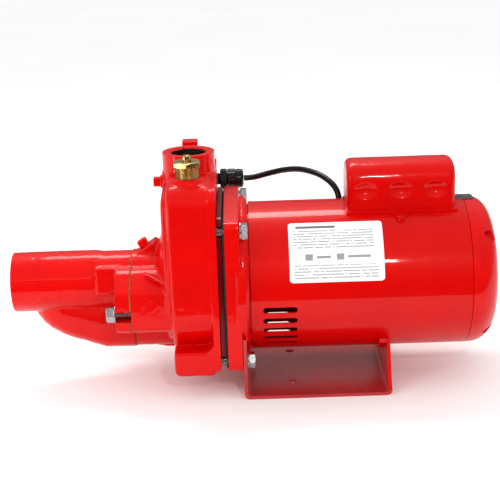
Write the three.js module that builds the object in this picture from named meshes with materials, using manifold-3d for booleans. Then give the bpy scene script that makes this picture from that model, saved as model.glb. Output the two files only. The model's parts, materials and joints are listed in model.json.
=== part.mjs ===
// A convertible jet pump: cast-iron casing and shallow-well ejector on a close-coupled motor.
// Millimetres, +Z up. The origin is the centre of the base plate's underside.
// Everything is drawn about the shaft: inside the shaft group x = 0 is the front edge of the motor
// shell, +x runs to the motor's rear, z = 0 is the shaft axis and y = 0 is the middle.
import * as THREE from "three";
import { mergeVertices } from "three/addons/utils/BufferGeometryUtils.js";
import Module from "manifold-3d";

const wasm = await Module();
wasm.setup();

// ---- Driving dimensions ----
const SHAFT_HEIGHT = 100;
const SHELL_FRONT_X = -60;
const GAP = 0.3;
const FACET_TOLERANCE = 0.08;
const CHORD_ERROR = 0.5;

// ejector and casing neck
const INLET_X = -228;
const JOINT_X = -113.6;
const NECK_FRONT_X = -112.2;
const BARREL_R = 29.2;
const NECK_R = 28;
const DRIVE_R = 21;
const DRIVE_Z = -47;
const EAR_Y = 45;
const EAR_Z = -20;
const SUCTION_BORE_R = 16;

// pump casing
const CASING_FRONT_X = -74;
const CASING_REAR_X = -29.5;
const RIM_X = -36;
const CASING_HALF_WIDTH = 70;
const CASING_TOP_Z = 108;
const CASING_WALL = 8;
const TOWER_X = -54.4;
const TOWER_R = 24.8;
const TOWER_TOP_Z = 124.5;
const DISCHARGE_R = 16.6;
const PORT_Y = 40;
const BOLT_Y = 64;
const BOLT_Z = 63;
const BOLT_R = 4.7;
const BOLT_HOLE_R = 5.2;

// wet end
const SHAFT_R = 8;
const IMPELLER_R = 52;
const IMPELLER_BACK_X = -56.6;
const EYE_R = 17;

// motor
const FLANGE_FRONT_X = -22.4;
const FLANGE_REAR_X = -8.6;
const SHELL_R = 71.5;
const SHELL_WALL = 1.5;
const SHELL_LENGTH = 204.7;
const BELL_REAR_X = 231;
const CORE_START_X = 98;
const CORE_END_X = 156;
const TIE_R = 64.2;
const VENT_LENGTH = 32;
const VENT_WIDTH = 6.2;
const VENT_CENTRE_X = 27;
const VENT_ANGLES = [10, 19.5, 29, 38.5, 48];

// sheet-steel base
const SHEET = 3.2;
const BASE_HALF_WIDTH = 72;
const BASE_REAR_X = 128.5;

// pressure switch and its lead
const GLAND_Y = 97;
const GLAND_Z = 72.7;
const CABLE_R = 3;

// regulator
const REGULATOR_X = -54.2;

// ---- Paints and metals ----
const finish = (color, roughness, metalness) =>
  new THREE.MeshStandardMaterial({ color, roughness, metalness });
const RED = finish(0xc8101a, 0.25, 0.1);
const ZINC = finish(0xb9bcc0, 0.35, 0.9);
const STEEL = finish(0x8d9095, 0.3, 0.9);
const IRON = finish(0x4c4e52, 0.6, 0.7);
const BRASS = finish(0xc9a23c, 0.3, 0.9);
const BLACK = finish(0x141414, 0.5, 0);
const RUBBER = finish(0x1d1a18, 0.8, 0);
const COPPER = finish(0xa8562a, 0.4, 0.6);
const CERAMIC = finish(0xe8e4da, 0.3, 0);
const FIBRE = finish(0x5a3a22, 0.9, 0);
const PLASTIC = finish(0x3a3d40, 0.6, 0);

// ---- Solid helpers ----
function solid(geometry) {
  const bare = geometry.index ? geometry.toNonIndexed() : geometry.clone();
  bare.deleteAttribute("normal");
  bare.deleteAttribute("uv");
  const merged = mergeVertices(bare, 1e-4);
  return new wasm.Manifold(
    new wasm.Mesh({
      numProp: 3,
      vertProperties: new Float32Array(merged.attributes.position.array),
      triVerts: new Uint32Array(merged.index.array),
    }),
  );
}

// Sides of a round form: enough to keep the chords within CHORD_ERROR of the circle.
function facets(radius) {
  const exact = Math.PI / Math.acos(1 - CHORD_ERROR / Math.max(radius, 1));
  return Math.max(8, 4 * Math.round(exact / 4));
}

const join = (...parts) => parts.reduce((whole, part) => whole.add(part));
const cut = (whole, ...tools) => tools.reduce((rest, tool) => rest.subtract(tool), whole);

function block(x0, x1, y0, y1, z0, z1) {
  const box = new THREE.BoxGeometry(x1 - x0, y1 - y0, z1 - z0);
  box.translate((x0 + x1) / 2, (y0 + y1) / 2, (z0 + z1) / 2);
  return solid(box);
}

// A cylinder (or cone) along X, Y or Z, from one station to the other.
function rodX(r0, r1, x0, x1, y = 0, z = 0, sides = facets(Math.max(r0, r1))) {
  const rod = new THREE.CylinderGeometry(r1, r0, x1 - x0, sides);
  rod.rotateZ(-Math.PI / 2);
  rod.translate((x0 + x1) / 2, y, z);
  return solid(rod);
}

function rodY(r, y0, y1, x, z, sides = facets(r)) {
  const rod = new THREE.CylinderGeometry(r, r, y1 - y0, sides);
  rod.translate(x, (y0 + y1) / 2, z);
  return solid(rod);
}

function rodZ(r0, r1, z0, z1, x, y, sides = facets(Math.max(r0, r1))) {
  const rod = new THREE.CylinderGeometry(r1, r0, z1 - z0, sides);
  rod.rotateX(Math.PI / 2);
  rod.translate(x, y, (z0 + z1) / 2);
  return solid(rod);
}

// A profile of [x, radius] pairs turned about the X axis; it closes on itself or ends on the axis.
function turned(profile, sides = facets(Math.max(...profile.map(([, r]) => r)))) {
  const points = profile.map(([x, r]) => new THREE.Vector2(r, x));
  const first = profile[0];
  const last = profile[profile.length - 1];
  if (first[1] > 0 && last[1] > 0) points.push(points[0].clone());
  const lathe = new THREE.LatheGeometry(points, sides);
  lathe.rotateZ(-Math.PI / 2);
  const made = solid(lathe);
  if (made.volume() > 0) return made;
  const back = new THREE.LatheGeometry(points.reverse(), sides);
  back.rotateZ(-Math.PI / 2);
  return solid(back);
}

const ring = (x0, x1, inner, outer, sides = facets(outer)) =>
  turned([[x0, inner], [x0, outer], [x1, outer], [x1, inner]], sides);

// A shape drawn in the y-z plane, pushed along X.
function slabX(shape, x0, x1, bevel = 0) {
  const slab = new THREE.ExtrudeGeometry(shape, {
    depth: x1 - x0 - 2 * bevel,
    bevelEnabled: bevel > 0,
    bevelThickness: bevel,
    bevelSize: bevel,
    bevelOffset: -bevel,
    bevelSegments: 1,
    curveSegments: 4,
  });
  slab.applyMatrix4(new THREE.Matrix4().set(0, 0, 1, x0 + bevel, 1, 0, 0, 0, 0, 1, 0, 0, 0, 0, 0, 1));
  return solid(slab);
}

// A shape drawn in the x-z plane, centred on y and pushed to both sides.
function slabY(shape, y, width) {
  const slab = new THREE.ExtrudeGeometry(shape, { depth: width, bevelEnabled: false });
  slab.translate(0, 0, -width / 2);
  slab.rotateX(Math.PI / 2);
  slab.translate(0, y, 0);
  return solid(slab);
}

function polygon(points) {
  return new THREE.Shape(points.map(([u, v]) => new THREE.Vector2(u, v)));
}

function roundRect(width, height, radius, centreV = 0) {
  const shape = new THREE.Shape();
  const u = width / 2 - radius;
  const v = height / 2 - radius;
  shape.absarc(u, centreV + v, radius, 0, Math.PI / 2);
  shape.absarc(-u, centreV + v, radius, Math.PI / 2, Math.PI);
  shape.absarc(-u, centreV - v, radius, Math.PI, 1.5 * Math.PI);
  shape.absarc(u, centreV - v, radius, 1.5 * Math.PI, 2 * Math.PI);
  return shape;
}

function circleShape(radius, sides) {
  const points = [];
  for (let i = 0; i < sides; i++) {
    const a = (2 * Math.PI * i) / sides;
    points.push(new THREE.Vector2(radius * Math.cos(a), radius * Math.sin(a)));
  }
  return new THREE.Shape(points);
}

// A round tube or rod that follows a smooth curve through the given points.
function alongCurve(points, radius, sides, steps) {
  const path = new THREE.CatmullRomCurve3(points.map((p) => new THREE.Vector3(...p)));
  const tube = new THREE.ExtrudeGeometry(circleShape(radius, sides), {
    steps,
    extrudePath: path,
    bevelEnabled: false,
  });
  return solid(tube);
}

// A copy of a solid, moved by a three.js matrix.
function moved(body, matrix) {
  return body.transform(matrix.elements);
}

const turnX = (body, angle) => moved(body, new THREE.Matrix4().makeRotationX(angle));
const mirrorY = (body) => moved(body, new THREE.Matrix4().makeScale(1, -1, 1));

// ---- The model tree ----
const pump = new THREE.Group();
const aboutShaft = new THREE.Group();
aboutShaft.position.set(SHELL_FRONT_X, 0, SHAFT_HEIGHT);
pump.add(aboutShaft);

function piece(name, body, material) {
  const mesh = body.simplify(FACET_TOLERANCE).getMesh();
  const geometry = new THREE.BufferGeometry();
  geometry.setAttribute("position", new THREE.BufferAttribute(mesh.vertProperties, 3));
  geometry.setIndex(new THREE.BufferAttribute(mesh.triVerts, 1));
  geometry.computeVertexNormals();
  const node = new THREE.Mesh(geometry, material);
  node.name = name;
  aboutShaft.add(node);
}

// ---- Ejector ----
// The joint outline is shared by the ejector flange, its gasket and the casing's neck.
function earShape() {
  const tip = 56;
  const corner = 8;
  const low = EAR_Z - 17.5;
  const shape = new THREE.Shape();
  const shoulder = [[20, 19], [33, 19], [53, 5], [tip, 0]];
  shape.moveTo(...shoulder[0]);
  for (const [y, z] of shoulder) shape.lineTo(-y, z);
  shape.absarc(corner - tip, low + corner, corner, Math.PI, 1.5 * Math.PI);
  shape.absarc(tip - corner, low + corner, corner, 1.5 * Math.PI, 2 * Math.PI);
  for (const [y, z] of shoulder.slice(1).reverse()) shape.lineTo(y, z);
  shape.closePath();
  return shape;
}

function jointOutline(x0, x1, barrelR) {
  const ears = slabX(earShape(), x0, x1);
  return join(
    ears,
    rodX(barrelR, barrelR, x0, x1, 0, 0),
    rodX(DRIVE_R, DRIVE_R, x0, x1, 0, DRIVE_Z),
  );
}

function earSlot(side, x0, x1) {
  const centre = side * EAR_Y;
  const round = rodX(5.1, 5.1, x0, x1, centre, EAR_Z);
  const far = side * 70;
  return join(round, block(x0, x1, Math.min(centre, far), Math.max(centre, far), EAR_Z - 5.1, EAR_Z + 5.1));
}

const passage = (depth, points, radius) =>
  alongCurve(points, radius, 20, depth);

// The drive chamber hangs under the barrel: [x, bottom z, top z, half width] at each station.
const CHAMBER_STATIONS = [
  [JOINT_X - 1, -68, -18, 22],
  [-142, -67.5, -17, 23],
  [-162, -60.6, -12, 22.5],
  [-183, -53.3, -8, 20.5],
  [-194, -47.2, -5, 17.5],
  [-204, -38.3, 0, 13],
  [-211, -27, 6, 5],
];

function ovalLoft(stations) {
  const sides = 16;
  const positions = [];
  for (const [x, bottom, top, half] of stations) {
    for (let i = 0; i < sides; i++) {
      const a = (2 * Math.PI * i) / sides;
      positions.push(x, half * Math.cos(a), (top + bottom) / 2 + ((top - bottom) / 2) * Math.sin(a));
    }
  }
  const index = [];
  for (let row = 0; row + 1 < stations.length; row++) {
    for (let i = 0; i < sides; i++) {
      const a = row * sides + i;
      const b = row * sides + ((i + 1) % sides);
      index.push(a, b + sides, b, a, a + sides, b + sides);
    }
  }
  const last = (stations.length - 1) * sides;
  for (let i = 1; i + 1 < sides; i++) index.push(0, i, i + 1, last, last + i + 1, last + i);
  const geometry = new THREE.BufferGeometry();
  geometry.setAttribute("position", new THREE.Float32BufferAttribute(positions, 3));
  geometry.setIndex(index);
  const made = solid(geometry);
  if (made.volume() > 0) return made;
  throw new Error("the drive chamber's faces point inwards");
}

const PAD_TOP_Z = 20;
function ejectorBody() {
  const lower = ovalLoft(CHAMBER_STATIONS);
  const outside = join(
    rodX(BARREL_R, BARREL_R, INLET_X, -146, 0, 0),
    rodX(NECK_R, NECK_R, -146.5, JOINT_X, 0, 0),
    lower,
    jointOutline(-127, JOINT_X, NECK_R),
    block(-146, -124, -30.5, 0, -6, PAD_TOP_Z),
  );
  const bored = cut(
    outside,
    rodX(19.6, 19.2, INLET_X - 1, -205, 0, 0),
    rodX(SUCTION_BORE_R, SUCTION_BORE_R, -206, JOINT_X + 1, 0, 0),
    passage(10, [[JOINT_X + 1, 0, DRIVE_Z], [-145, 0, -46], [-172, 0, -40], [-196, 0, -31]], 10),
    earSlot(-1, -128, JOINT_X + 1),
    earSlot(1, -128, JOINT_X + 1),
  );
  const post = rodZ(8, 8, -26, 9, -196, 0);
  return cut(
    join(bored, post),
    rodZ(4.6, 4.6, -36, 1, -196, 0),
    rodX(6.2, 6.2, -196, -187.4, 0, 0),
  );
}
piece("ejector_body", ejectorBody(), RED);

function ejectorGasket() {
  const sheet = jointOutline(JOINT_X + GAP, NECK_FRONT_X - GAP, NECK_R);
  return cut(
    sheet,
    rodX(SUCTION_BORE_R + 1, SUCTION_BORE_R + 1, -115, -111),
    rodX(11, 11, -115, -111, 0, DRIVE_Z),
    earSlot(-1, -115, -111),
    earSlot(1, -115, -111),
  );
}
piece("ejector_gasket", ejectorGasket(), FIBRE);

piece("jet_nozzle", turned([
  [-195, 3.4], [-195, 5.9], [-187, 5.9], [-187, 8], [-183, 8], [-183, 6.2], [-172, 3.6], [-172, 2.2],
]), BRASS);

piece("venturi_tube", turned([
  [-176, 9], [-168, 5], [-158, 5], [-92.5, 12.5], [-92.5, 15.7], [-100, 15.7], [-103, 14.4], [-160, 8],
  [-170, 9], [-176, 11],
]), PLASTIC);

// Hex bolt along X with a washer face; the head is at the low-x end when side is 1.
function boltX(seatX, tipX, y, z, headAcross, headLength, radius) {
  const sign = Math.sign(tipX - seatX);
  const span = (a, b, r, sides) => rodX(r, r, Math.min(a, b), Math.max(a, b), y, z, sides ?? facets(r));
  const washerEnd = seatX - sign * 1.6;
  const headEnd = washerEnd - sign * headLength;
  return join(
    span(seatX, washerEnd, headAcross * 0.62),
    span(washerEnd + sign * 0.1, headEnd, headAcross / Math.sqrt(3), 6),
    span(seatX - sign * 0.1, tipX, radius),
  );
}
for (const [name, side] of [["near", -1], ["far", 1]]) {
  piece(`ejector_bolt_${name}`, boltX(-127 - GAP, -98, side * EAR_Y, EAR_Z, 14.3, 7.4, BOLT_R), ZINC);
}

// ---- Pump casing ----
// Tombstone outline: round below the shaft, straight sides, slightly arched top with round shoulders.
function tombstone(halfWidth, lowR, topZ, shoulderR) {
  const shape = new THREE.Shape();
  const meet = Math.sqrt(lowR * lowR - halfWidth * halfWidth);
  const low = Math.atan2(-meet, halfWidth);
  shape.absarc(0, 0, lowR, low, -Math.PI - low, true);
  const rise = 3;
  shape.lineTo(-halfWidth, topZ - rise - shoulderR);
  shape.absarc(shoulderR - halfWidth, topZ - rise - shoulderR, shoulderR, Math.PI, Math.PI / 2, true);
  shape.quadraticCurveTo(0, topZ + rise, halfWidth - shoulderR, topZ - rise);
  shape.absarc(halfWidth - shoulderR, topZ - rise - shoulderR, shoulderR, Math.PI / 2, 0, true);
  shape.closePath();
  return shape;
}

const RIM_SHAPE = roundRect(2 * CASING_HALF_WIDTH + 0.6, 179, 12, 13.5);

const TOP_BOSS_Z = 109.2;
function casingOutside() {
  const body = slabX(tombstone(CASING_HALF_WIDTH, 72, CASING_TOP_Z, 20), CASING_FRONT_X, RIM_X + 1, 4);
  const face = slabX(tombstone(58, 60, 96, 14), CASING_FRONT_X - 6, CASING_FRONT_X + 6, 5);
  const dome = rodX(38, 58, -87, CASING_FRONT_X - 2, 0, 0);
  const rim = slabX(RIM_SHAPE, RIM_X, CASING_REAR_X);
  const foot = block(-73, RIM_X + 1, -70.5, 70.5, -76, -52);
  const tower = rodZ(TOWER_R, TOWER_R, 60, TOWER_TOP_Z, TOWER_X, 0);
  const neck = jointOutline(NECK_FRONT_X, -78, 29);
  const gaugeBoss = rodX(12.5, 14, -80, -62, 0, 96);
  const topBosses = [-PORT_Y, PORT_Y].map((y) => rodZ(15.5, 15, 95, TOP_BOSS_Z, REGULATOR_X, y));
  const drainBoss = rodY(12, 40, 72, -56, -42);
  const switchBoss = rodY(14, 60, 74, -60, 5);
  return join(
    body, face, dome, rim, foot, tower, neck, gaugeBoss, drainBoss, switchBoss, primingBoss(), lowerRib(),
    ...topBosses,
  );
}

// The priming port leans towards the inlet; its flat top face is 7 mm along its own axis.
const PRIMING_TILT = THREE.MathUtils.degToRad(32.8);
const PRIMING_X = -96.5;
const PRIMING_Z = 27.2;
function leaning(body) {
  const place = new THREE.Matrix4().makeTranslation(PRIMING_X, 0, PRIMING_Z);
  return moved(body, place.multiply(new THREE.Matrix4().makeRotationY(-PRIMING_TILT)));
}

function primingBoss() {
  const wedge = leaning(block(-22, 12.8, -9, 9, -24, 7));
  return wedge.intersect(block(NECK_FRONT_X, -70, -10, 10, 0, 60));
}

function lowerRib() {
  const outline = polygon([[-106, -60], [-106, -66], [-82, -72], [-74, -72], [-74, -56]]);
  return slabY(outline, 0, 7);
}

function pumpCasing() {
  const hollow = slabX(
    tombstone(CASING_HALF_WIDTH - CASING_WALL, 63, CASING_TOP_Z - 9, 12),
    CASING_FRONT_X + 4,
    CASING_REAR_X + 1,
  );
  const lugs = [1, -1].map((side) => rodX(10, 10, -50, CASING_REAR_X - 0.5, side * BOLT_Y, BOLT_Z));
  const tower = cut(
    rodZ(TOWER_R, TOWER_R, 92, TOWER_TOP_Z, TOWER_X, 0),
    rodZ(DISCHARGE_R, DISCHARGE_R, 90, TOWER_TOP_Z + 1, TOWER_X, 0),
  );
  const walls = join(cut(casingOutside(), hollow), ...lugs, tower);
  const earHoles = [-EAR_Y, EAR_Y].map((y) => rodX(BOLT_HOLE_R, BOLT_HOLE_R, NECK_FRONT_X - 1, -96, y, EAR_Z));
  return cut(
    walls,
    ...fourBoltHoles(-46, CASING_REAR_X + 1),
    ...earHoles,
    rodX(SUCTION_BORE_R, SUCTION_BORE_R, NECK_FRONT_X - 1, -91, 0, 0),
    rodX(20, 20, -91.5, -60, 0, 0),
    rodX(11, 11, NECK_FRONT_X - 1, -60, 0, DRIVE_Z),
    rodZ(DISCHARGE_R, DISCHARGE_R, 80, TOWER_TOP_Z + 1, TOWER_X, 0),
    rodZ(DISCHARGE_R, DISCHARGE_R + 1.6, TOWER_TOP_Z - 1.4, TOWER_TOP_Z + 0.2, TOWER_X, 0),
    rodX(6.8, 6.8, -82, -64, 0, 96),
    rodZ(11, 11, 88, 120, REGULATOR_X, -PORT_Y),
    rodZ(13.3, 13.3, 88, 120, REGULATOR_X, PORT_Y),
    leaning(rodZ(5.9, 5.9, -24, 12, 0, 0)),
    rodY(6.8, 40, 75, -56, -42),
    rodY(6.8, 50, 75, -60, 5),
  );
}
piece("pump_casing", pumpCasing(), RED);

// Pipe plug with a round collar and a square head, drawn pointing up from its seat at z = 0.
function squarePlug(threadR, threadDepth, collarR, collarHeight, across, height) {
  return join(
    rodZ(threadR, threadR, -threadDepth, 0.1, 0, 0),
    rodZ(collarR, collarR, 0, collarHeight, 0, 0),
    block(-across / 2, across / 2, -across / 2, across / 2, collarHeight - 0.1, collarHeight + height),
  );
}
const smallPlug = () => squarePlug(6.5, 8, 6.5, 2, 8.4, 6.5);

const primingPlug = squarePlug(5.6, 8, 5.6, 0.8, 9, 6.2);
piece("priming_plug", leaning(moved(primingPlug, new THREE.Matrix4().makeTranslation(0, 0, 7.2))), RED);

const pointing = (body, rotation, x, y, z) =>
  moved(body, new THREE.Matrix4().makeTranslation(x, y, z).multiply(rotation));
const TOWARDS_INLET = new THREE.Matrix4().makeRotationY(-Math.PI / 2);
const TOWARDS_BACK = new THREE.Matrix4().makeRotationX(-Math.PI / 2);
piece("gauge_plug", pointing(smallPlug(), TOWARDS_INLET, -80.2, 0, 96), RED);
piece("drain_plug", pointing(smallPlug(), TOWARDS_BACK, -56, 72.2, -42), RED);
const ventPlace = new THREE.Matrix4().makeTranslation(REGULATOR_X, PORT_Y, TOP_BOSS_Z + GAP);
piece("vent_plug", moved(squarePlug(13, 12, 13, 6, 15, 11), ventPlace), RED);

// ---- Brass regulator: bushing, turning stem, and the valve disc that the stem lifts ----
const REGULATOR_HEX_Z = 119;
const REGULATOR_TOP_Z = 124.5;
function regulatorBody() {
  const bushing = join(
    rodZ(10.7, 10.7, 92, REGULATOR_HEX_Z + 0.1, 0, 0),
    rodZ(13.6, 13.6, REGULATOR_HEX_Z, REGULATOR_TOP_Z, 0, 0, 6),
  );
  return cut(bushing, rodZ(3.5, 3.5, 91, REGULATOR_TOP_Z + 1, 0, 0), rodZ(6, 6, 91, 97, 0, 0));
}
const atRegulator = (body) =>
  moved(body, new THREE.Matrix4().makeTranslation(REGULATOR_X, -PORT_Y, 0));
piece("regulator_body", atRegulator(regulatorBody()), BRASS);

function regulatorStem() {
  const spindle = join(
    rodZ(3.2, 3.2, 84, REGULATOR_TOP_Z + 1, 0, 0),
    rodZ(4.3, 4.3, REGULATOR_TOP_Z + GAP, 130, 0, 0),
  );
  return cut(spindle, block(-0.7, 0.7, -6, 6, 127, 131));
}
piece("regulator_stem", atRegulator(regulatorStem()), BRASS);

function regulatorDisc() {
  const disc = rodZ(9, 9, 78, 86.5, 0, 0);
  return cut(disc, rodZ(3.5, 3.5, 83.7, 90, 0, 0));
}
piece("regulator_disc", atRegulator(regulatorDisc()), BRASS);

// ---- Wet end ----
const EYE_COLLAR_R = 19.6;
const PLATE_FRONT_X = CASING_REAR_X + GAP;
const PLATE_REAR_X = -24.4;
function diffuser() {
  const wall = ring(-70 + GAP, -67.5, EYE_R + 0.5, 58);
  const collar = ring(-88, -69, EYE_R + 0.5, EYE_COLLAR_R);
  const rearRing = ring(-47, -44, 54, 60);
  const parts = [wall, collar, rearRing];
  const vane = block(-68, -46, 53.5, 59, -1.2, 1.2);
  const leg = rodX(3, 3, -45, PLATE_FRONT_X - GAP, 57, 0);
  for (let i = 0; i < 6; i++) {
    const spin = new THREE.Matrix4().makeRotationX((i * Math.PI) / 3);
    parts.push(moved(turnedVane(vane), spin));
    if (i % 2 === 0) parts.push(moved(leg, spin));
  }
  return join(...parts);
}

// Each vane leans by a third of a right angle about its own middle.
function turnedVane(vane) {
  const there = new THREE.Matrix4().makeTranslation(0, 56.5, 0);
  const lean = new THREE.Matrix4().makeRotationX(-Math.PI / 6);
  const back = new THREE.Matrix4().makeTranslation(0, -56.5, 0);
  return moved(vane, there.multiply(lean).multiply(back));
}
piece("diffuser", diffuser(), PLASTIC);

function impellerBlade() {
  const points = [];
  const steps = 5;
  const radiusAt = (t) => 15 + t * (IMPELLER_R - 16);
  const angleAt = (t) => -1.1 * t;
  for (let i = 0; i <= steps; i++) {
    const t = i / steps;
    points.push([radiusAt(t) * Math.cos(angleAt(t)), radiusAt(t) * Math.sin(angleAt(t))]);
  }
  for (let i = steps; i >= 0; i--) {
    const t = i / steps;
    const shift = 1.8 / radiusAt(t);
    points.push([
      radiusAt(t) * Math.cos(angleAt(t) + shift),
      radiusAt(t) * Math.sin(angleAt(t) + shift),
    ]);
  }
  return slabX(polygon(points), -66, -59.5);
}

function impeller() {
  const rear = ring(-60, -57.5, 6.6, IMPELLER_R);
  const front = ring(-67, -65.5, EYE_R - 3, IMPELLER_R);
  const neck = ring(-76, -66, EYE_R - 3, EYE_R - GAP);
  const hub = ring(-68, IMPELLER_BACK_X, 6.4, 11);
  const parts = [rear, front, neck, hub];
  const blade = impellerBlade();
  for (let i = 0; i < 6; i++) parts.push(turnX(blade, (i * Math.PI) / 3));
  return join(...parts);
}
piece("impeller", impeller(), BRASS);

function fourBoltHoles(x0, x1) {
  const holes = [];
  for (const y of [-BOLT_Y, BOLT_Y]) {
    for (const z of [-BOLT_Z, BOLT_Z]) holes.push(rodX(BOLT_HOLE_R, BOLT_HOLE_R, x0, x1, y, z));
  }
  return holes;
}

// The plate stands back from the edges of the casing and the flange, so the bolts run past it in open
// notches; a rubber gasket fills the last step up to the motor flange.
const PILOT_R = 46;
function casingGasket() {
  const sheet = slabX(roundRect(141.4, 141.4, 8, 0), PLATE_REAR_X + GAP, FLANGE_FRONT_X - GAP);
  return cut(
    sheet,
    rodX(PILOT_R + GAP, PILOT_R + GAP, PLATE_REAR_X, FLANGE_FRONT_X, 0, 0),
    ...fourBoltHoles(PLATE_REAR_X, FLANGE_FRONT_X),
  );
}
piece("casing_gasket", casingGasket(), RUBBER);

function sealPlate() {
  const plate = slabX(roundRect(133, 172, 13, 15.5), PLATE_FRONT_X, PLATE_REAR_X);
  const pilot = rodX(PILOT_R, PILOT_R, PLATE_REAR_X - 0.1, FLANGE_FRONT_X - GAP, 0, 0);
  const hub = rodX(21, 23, -40, PLATE_FRONT_X + 0.1, 0, 0);
  const notches = [-BOLT_Z, BOLT_Z].flatMap((z) => [
    block(-30, -24, -80, -BOLT_Y, z - BOLT_HOLE_R, z + BOLT_HOLE_R),
    block(-30, -24, BOLT_Y, 80, z - BOLT_HOLE_R, z + BOLT_HOLE_R),
  ]);
  return cut(
    join(plate, pilot, hub),
    rodX(15.3, 15.3, -41, -33, 0, 0),
    rodX(9.4, 9.4, -34, -20, 0, 0),
    ...fourBoltHoles(-30, -24),
    ...notches,
  );
}
piece("seal_plate", sealPlate(), RED);
piece("seal_seat", ring(-39.7, -33.3, 9.4, 15), CERAMIC);
piece("seal_head", ring(-47, -40, SHAFT_R + GAP, 13), BLACK);

function sealSpring() {
  const turns = 3.5;
  const radius = 10.4;
  const start = -55.4;
  const length = 7.2;
  const points = [];
  const count = Math.round(turns * 10);
  for (let i = 0; i <= count; i++) {
    const a = (2 * Math.PI * turns * i) / count;
    points.push([start + (length * i) / count, radius * Math.cos(a), radius * Math.sin(a)]);
  }
  return alongCurve(points, 0.75, 5, count);
}
piece("seal_spring", sealSpring(), STEEL);

// The lower two casing bolts also hold the base's front leg, so their seats stand further back.
const LEG_REAR_X = FLANGE_REAR_X + GAP + SHEET;
let boltNumber = 1;
for (const z of [BOLT_Z, -BOLT_Z]) {
  for (const y of [-BOLT_Y, BOLT_Y]) {
    const seat = (z > 0 ? FLANGE_REAR_X : LEG_REAR_X) + GAP;
    piece(`casing_bolt_${boltNumber}`, boltX(seat, -44, y, z, 13.6, 6, BOLT_R), ZINC);
    boltNumber += 1;
  }
}

// ---- Motor ends ----
function flangeOutline() {
  const half = 72.5;
  const corner = 7;
  const bulge = 88;
  const shape = new THREE.Shape();
  shape.absarc(half - corner, half - corner, corner, 0, Math.PI / 2);
  shape.quadraticCurveTo(0, bulge, corner - half, half);
  shape.absarc(corner - half, half - corner, corner, Math.PI / 2, Math.PI);
  shape.absarc(corner - half, corner - half, corner, Math.PI, 1.5 * Math.PI);
  shape.quadraticCurveTo(0, -bulge, half - corner, -half);
  shape.absarc(half - corner, corner - half, corner, 1.5 * Math.PI, 2 * Math.PI);
  return shape;
}

const FRONT_BEARING_X = -14;
const FRONT_BEARING_WIDTH = 12;
function tieRodPlaces() {
  const places = [];
  for (let i = 0; i < 4; i++) {
    const a = Math.PI / 4 + (i * Math.PI) / 2;
    places.push([TIE_R * Math.cos(a), TIE_R * Math.sin(a)]);
  }
  return places;
}

function frontEndBell() {
  const flange = slabX(flangeOutline(), FLANGE_FRONT_X, FLANGE_REAR_X, 1);
  const skirt = turned([
    [-10, 0], [-10, 77.5], [-4, 77.5], [-0.4, 74], [-0.4, 69.2], [8, 69.2], [8, 0],
  ]);
  const hollow = rodX(64, 66, -17, 9, 0, 0);
  const hub = rodX(25, 24, -18, -2, 0, 0);
  const lugs = tieRodPlaces().map(([y, z]) => rodX(4.6, 4.6, -18, 7.5, y * 0.985, z * 0.985));
  const holes = tieRodPlaces().map(([y, z]) => rodX(2.7, 2.7, -12, 9, y, z));
  return cut(
    join(cut(join(flange, skirt), hollow), hub, ...lugs),
    rodX(20.3, 20.3, FRONT_BEARING_X - GAP, 0, 0, 0),
    rodX(9.6, 9.6, FLANGE_FRONT_X - 1, 0, 0, 0),
    ...holes,
    ...fourBoltHoles(-24, -7),
  );
}
piece("front_end_bell", frontEndBell(), RED);

// Ball bearing: grooved outer and inner rings and the caged balls between them.
function bearing(name, x, width, bore, outer, ballR, ballCount) {
  const pitch = (bore + outer) / 2;
  const middle = x + width / 2;
  const groove = ballR + GAP;
  const land = ballR * 0.62;
  const reach = Math.sqrt(groove * groove - land * land);
  const grooveArc = (side) => {
    const arc = [];
    const half = Math.atan2(reach, land);
    for (let i = 0; i <= 2; i++) {
      const a = -half + half * i;
      arc.push([middle + groove * Math.sin(a), pitch + side * groove * Math.cos(a)]);
    }
    return arc;
  };
  piece(`${name}_outer`, turned([
    [x, outer], [x, pitch + land], ...grooveArc(1), [x + width, pitch + land], [x + width, outer],
  ]), STEEL);
  piece(`${name}_inner`, turned([
    [x, bore], [x, pitch - land], ...grooveArc(-1), [x + width, pitch - land], [x + width, bore],
  ]), STEEL);
  const cageHalf = ballR * 0.42;
  const parts = [ring(middle - cageHalf, middle + cageHalf, pitch - cageHalf, pitch + cageHalf)];
  for (let i = 0; i < ballCount; i++) {
    const a = (2 * Math.PI * i) / ballCount;
    const ball = new THREE.SphereGeometry(ballR - 0.6, 6, 4);
    ball.translate(middle, pitch * Math.cos(a), pitch * Math.sin(a));
    parts.push(solid(ball));
  }
  piece(`${name}_balls`, join(...parts), STEEL);
}
bearing("front_bearing", FRONT_BEARING_X, FRONT_BEARING_WIDTH, 8.8, 20, 3.3, 8);
const REAR_BEARING_X = 209;
bearing("rear_bearing", REAR_BEARING_X, 11, 7.8, 17.5, 2.9, 8);

function motorShell() {
  const tube = ring(0, SHELL_LENGTH, SHELL_R - SHELL_WALL, SHELL_R);
  const slot = slotTool();
  const cuts = [];
  for (const degrees of VENT_ANGLES) {
    const angle = THREE.MathUtils.degToRad(degrees);
    cuts.push(turnX(slot, angle), mirrorY(turnX(slot, angle)));
  }
  const entry = leadEntry(CABLE_R + 0.8);
  return cut(tube, ...cuts, entry);
}

// A round-ended slot that cuts radially through the near side of the shell, level with the shaft.
function slotTool() {
  const half = VENT_WIDTH / 2;
  const straight = VENT_LENGTH / 2 - half;
  return join(
    block(VENT_CENTRE_X - straight, VENT_CENTRE_X + straight, -80, -60, -half, half),
    rodY(half, -80, -60, VENT_CENTRE_X - straight, 0),
    rodY(half, -80, -60, VENT_CENTRE_X + straight, 0),
  );
}

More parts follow.
